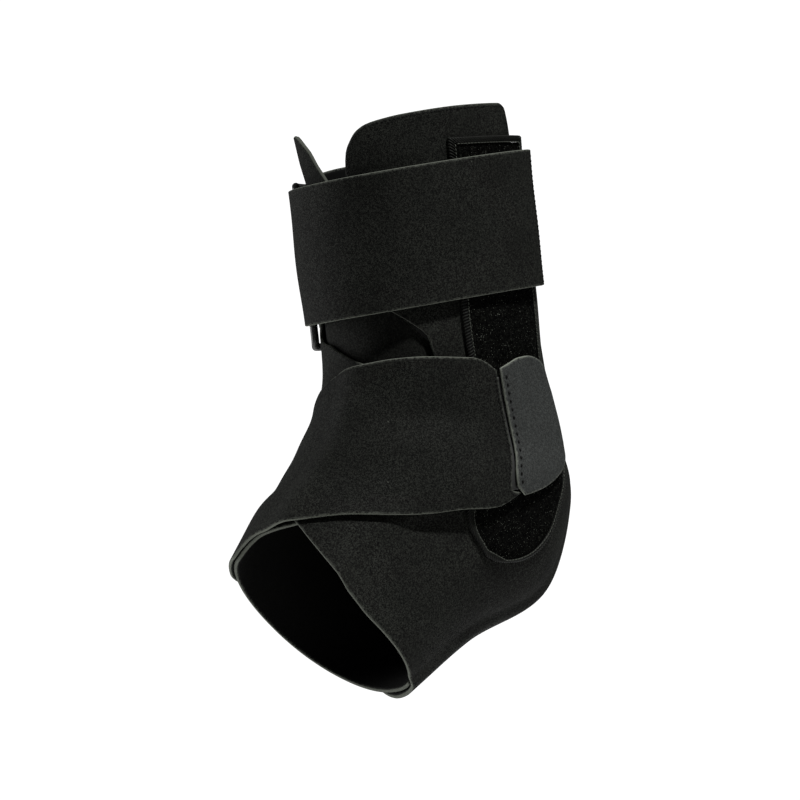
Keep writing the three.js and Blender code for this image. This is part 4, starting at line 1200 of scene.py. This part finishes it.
def tab_place(u, v, overlap=0.0):
    strap_end = follow(LOWER_END_EDGE, end_place(v))
    start = strap_end + degrees_across(TAB_SEAM, end_place(v), strap_end + 1) - overlap
    angle = mix(start, TAB_BACK_ANGLE, u)
    return mix(follow(TAB_TOP_EDGE, angle), follow(TAB_BOTTOM_EDGE, angle), v), angle


def hook_tab_place(u, v):
    at, angle = tab_place(u, v)
    return at, angle, np.full_like(at, STRAP_OFF)


def lower_hook_place(u, v):
    at, angle = tab_place(mix(0.03, 0.95, u), mix(0.05, 0.95, v), overlap=9)
    return at, angle, np.full_like(at, ON_PILE)


hook_tab = wrapped_sheet(
    "end_tab", np.linspace(0, 1, 70), np.linspace(0, 1, 60), TAB_WALL, hook_tab_place, [grey_tab])
adopt(hook_tab, "grey_tab", "hook_tab")
lower_hook = wrapped_sheet(
    "instep_hook_tape", np.linspace(0, 1, 50), np.linspace(0, 1, 40), HOOK_WALL, lower_hook_place,
    [hook_tape])
adopt(lower_hook, "hook_tape", "lower_hook")
declare_sheet(hook_tab)

UPPER_HOOK_START = 96
UPPER_HOOK_MARGIN = 5
UPPER_HOOK_SHARE = 0.92


def upper_hook_tape():
    u, v = np.meshgrid(np.linspace(0, 1, 40), np.linspace(0, 1, 30))
    angle = mix(UPPER_HOOK_START, STRAP_END_ANGLE - UPPER_HOOK_MARGIN, u)
    share = mix(0.5 - UPPER_HOOK_SHARE / 2, 0.5 + UPPER_HOOK_SHARE / 2, v)
    level = strap_level(hollow_point(BAND_PLACE, angle), share)
    outer = skin_at_height(level, angle, ON_PILE + HOOK_WALL)
    inner = skin_at_height(level, angle, ON_PILE)
    return closed_sheet("leg_hook_tape", outer, inner, [hook_tape])


upper_hook = upper_hook_tape()
adopt(upper_hook, "hook_tape", "upper_hook")

# %% [markdown]
# Every seam is a row of real stitches. A seam follows an edge at a distance in from it; each
# stitch is a short bent thread whose two ends dip into the cloth. The edge comes from the same
# function that placed the piece, so a seam stays beside its edge wherever the edge goes.

# %% Seams
def seam(name, edge, up, inset, pitch, length, radius, thread):
    """Stitches along a line of points, moved sideways by the inset over the surface."""
    tangent = unit(np.gradient(edge, axis=0))
    line = edge + unit(np.cross(up, tangent)) * inset
    run = np.concatenate([[0], np.cumsum(np.linalg.norm(np.diff(line, axis=0), axis=1))])
    middles = np.arange(pitch / 2, run[-1], pitch)
    places = middles[:, None] + length * np.linspace(-0.5, 0.5, 5)
    points = np.stack([np.interp(places, run, line[:, k]) for k in range(3)], axis=-1)
    normals = unit(np.stack([np.interp(places, run, up[:, k]) for k in range(3)], axis=-1))
    height = radius * np.array([-1.3, 0.2, 0.5, 0.2, -1.3])
    stitches = tube_mesh(name, points + normals * height[:, None], normals, radius, 6, [thread])
    adopt(stitches, "binding_thread")


def along_edge(place, wall, u, v):
    """Points and normals of a piece's outer face along a line of its own (u, v)."""
    at, angle, off = place(*np.broadcast_arrays(np.asarray(u, float), np.asarray(v, float)))
    return skin(at, angle, off + wall), hollow_normal(at, angle)


def across_band(level, angle, off, lift=0.0, margin=0.02):
    """The same for a line straight across a band, whose lower side may stand off by a lift."""
    share = np.linspace(margin, 1 - margin, 200)
    height = level(hollow_point(BAND_PLACE, angle), share)
    points = skin_at_height(height, angle, off + lift * share)
    return points, np.broadcast_to(unit(hollow_normal(BAND_PLACE, angle)), points.shape)


run = np.linspace(0.0, 1.0, 400)
chain_at, chain_angle, _ = pile_outline(BINDING_WIDTH + 0.15 * MM, 1200)
chain_line = skin(chain_at, chain_angle, pile_off(chain_at, chain_angle) + PILE_WALL)
strap_end = across_band(strap_level, STRAP_END_ANGLE, STRAP_OFF + STRAP_WALL, STRAP_END_LIFT)
webbing_top = ON_PANEL + 2 * WEBBING_WALL + PLY_GAP
# name, line, then in mm: inset, pitch, stitch, thickness; thread
SEAMS = [
    ("wing_edge_seam", along_edge(outer_panel_place, PANEL_WALL, run * 0.6, 0.0),
     -0.9, 1.6, 1.0, 0.15, black_thread),
    ("back_lap_seam", along_edge(outer_panel_place, PANEL_WALL, 1.0, 0.03 + 0.94 * run),
     -2.6, 2.6, 1.9, 0.2, pale_thread),
    ("strap_end_seam", strap_end, -0.8, 1.9, 1.0, 0.3, black_thread),
    ("tab_seam", along_edge(hook_tab_place, TAB_WALL, 0.0, 0.03 + 0.94 * run),
     1.7, 3.1, 1.0, 0.42, black_thread),
    ("instep_end_seam", along_edge(lower_strap_place, STRAP_WALL, 1.0, 0.02 + 0.96 * run),
     -1.0, 1.7, 1.15, 0.26, black_thread),
    ("instep_root_seam", along_edge(lower_strap_place, STRAP_WALL, 0.0, 0.05 + 0.9 * run),
     3.0, 2.6, 1.9, 0.2, pale_thread),
    ("ring_tab_seam", across_band(webbing_level, RING_TAB_ANGLE + 5, webbing_top, margin=0.05),
     0.0, 2.2, 1.6, 0.2, pale_thread),
    ("pile_chain", (chain_line, hollow_normal(chain_at, chain_angle)), 0.0, 1.5, 1.1, 0.16, pale_thread),
]
for name, (edge, up), *sizes, thread in SEAMS:
    seam(name, edge, up, *(size * MM for size in sizes), thread)
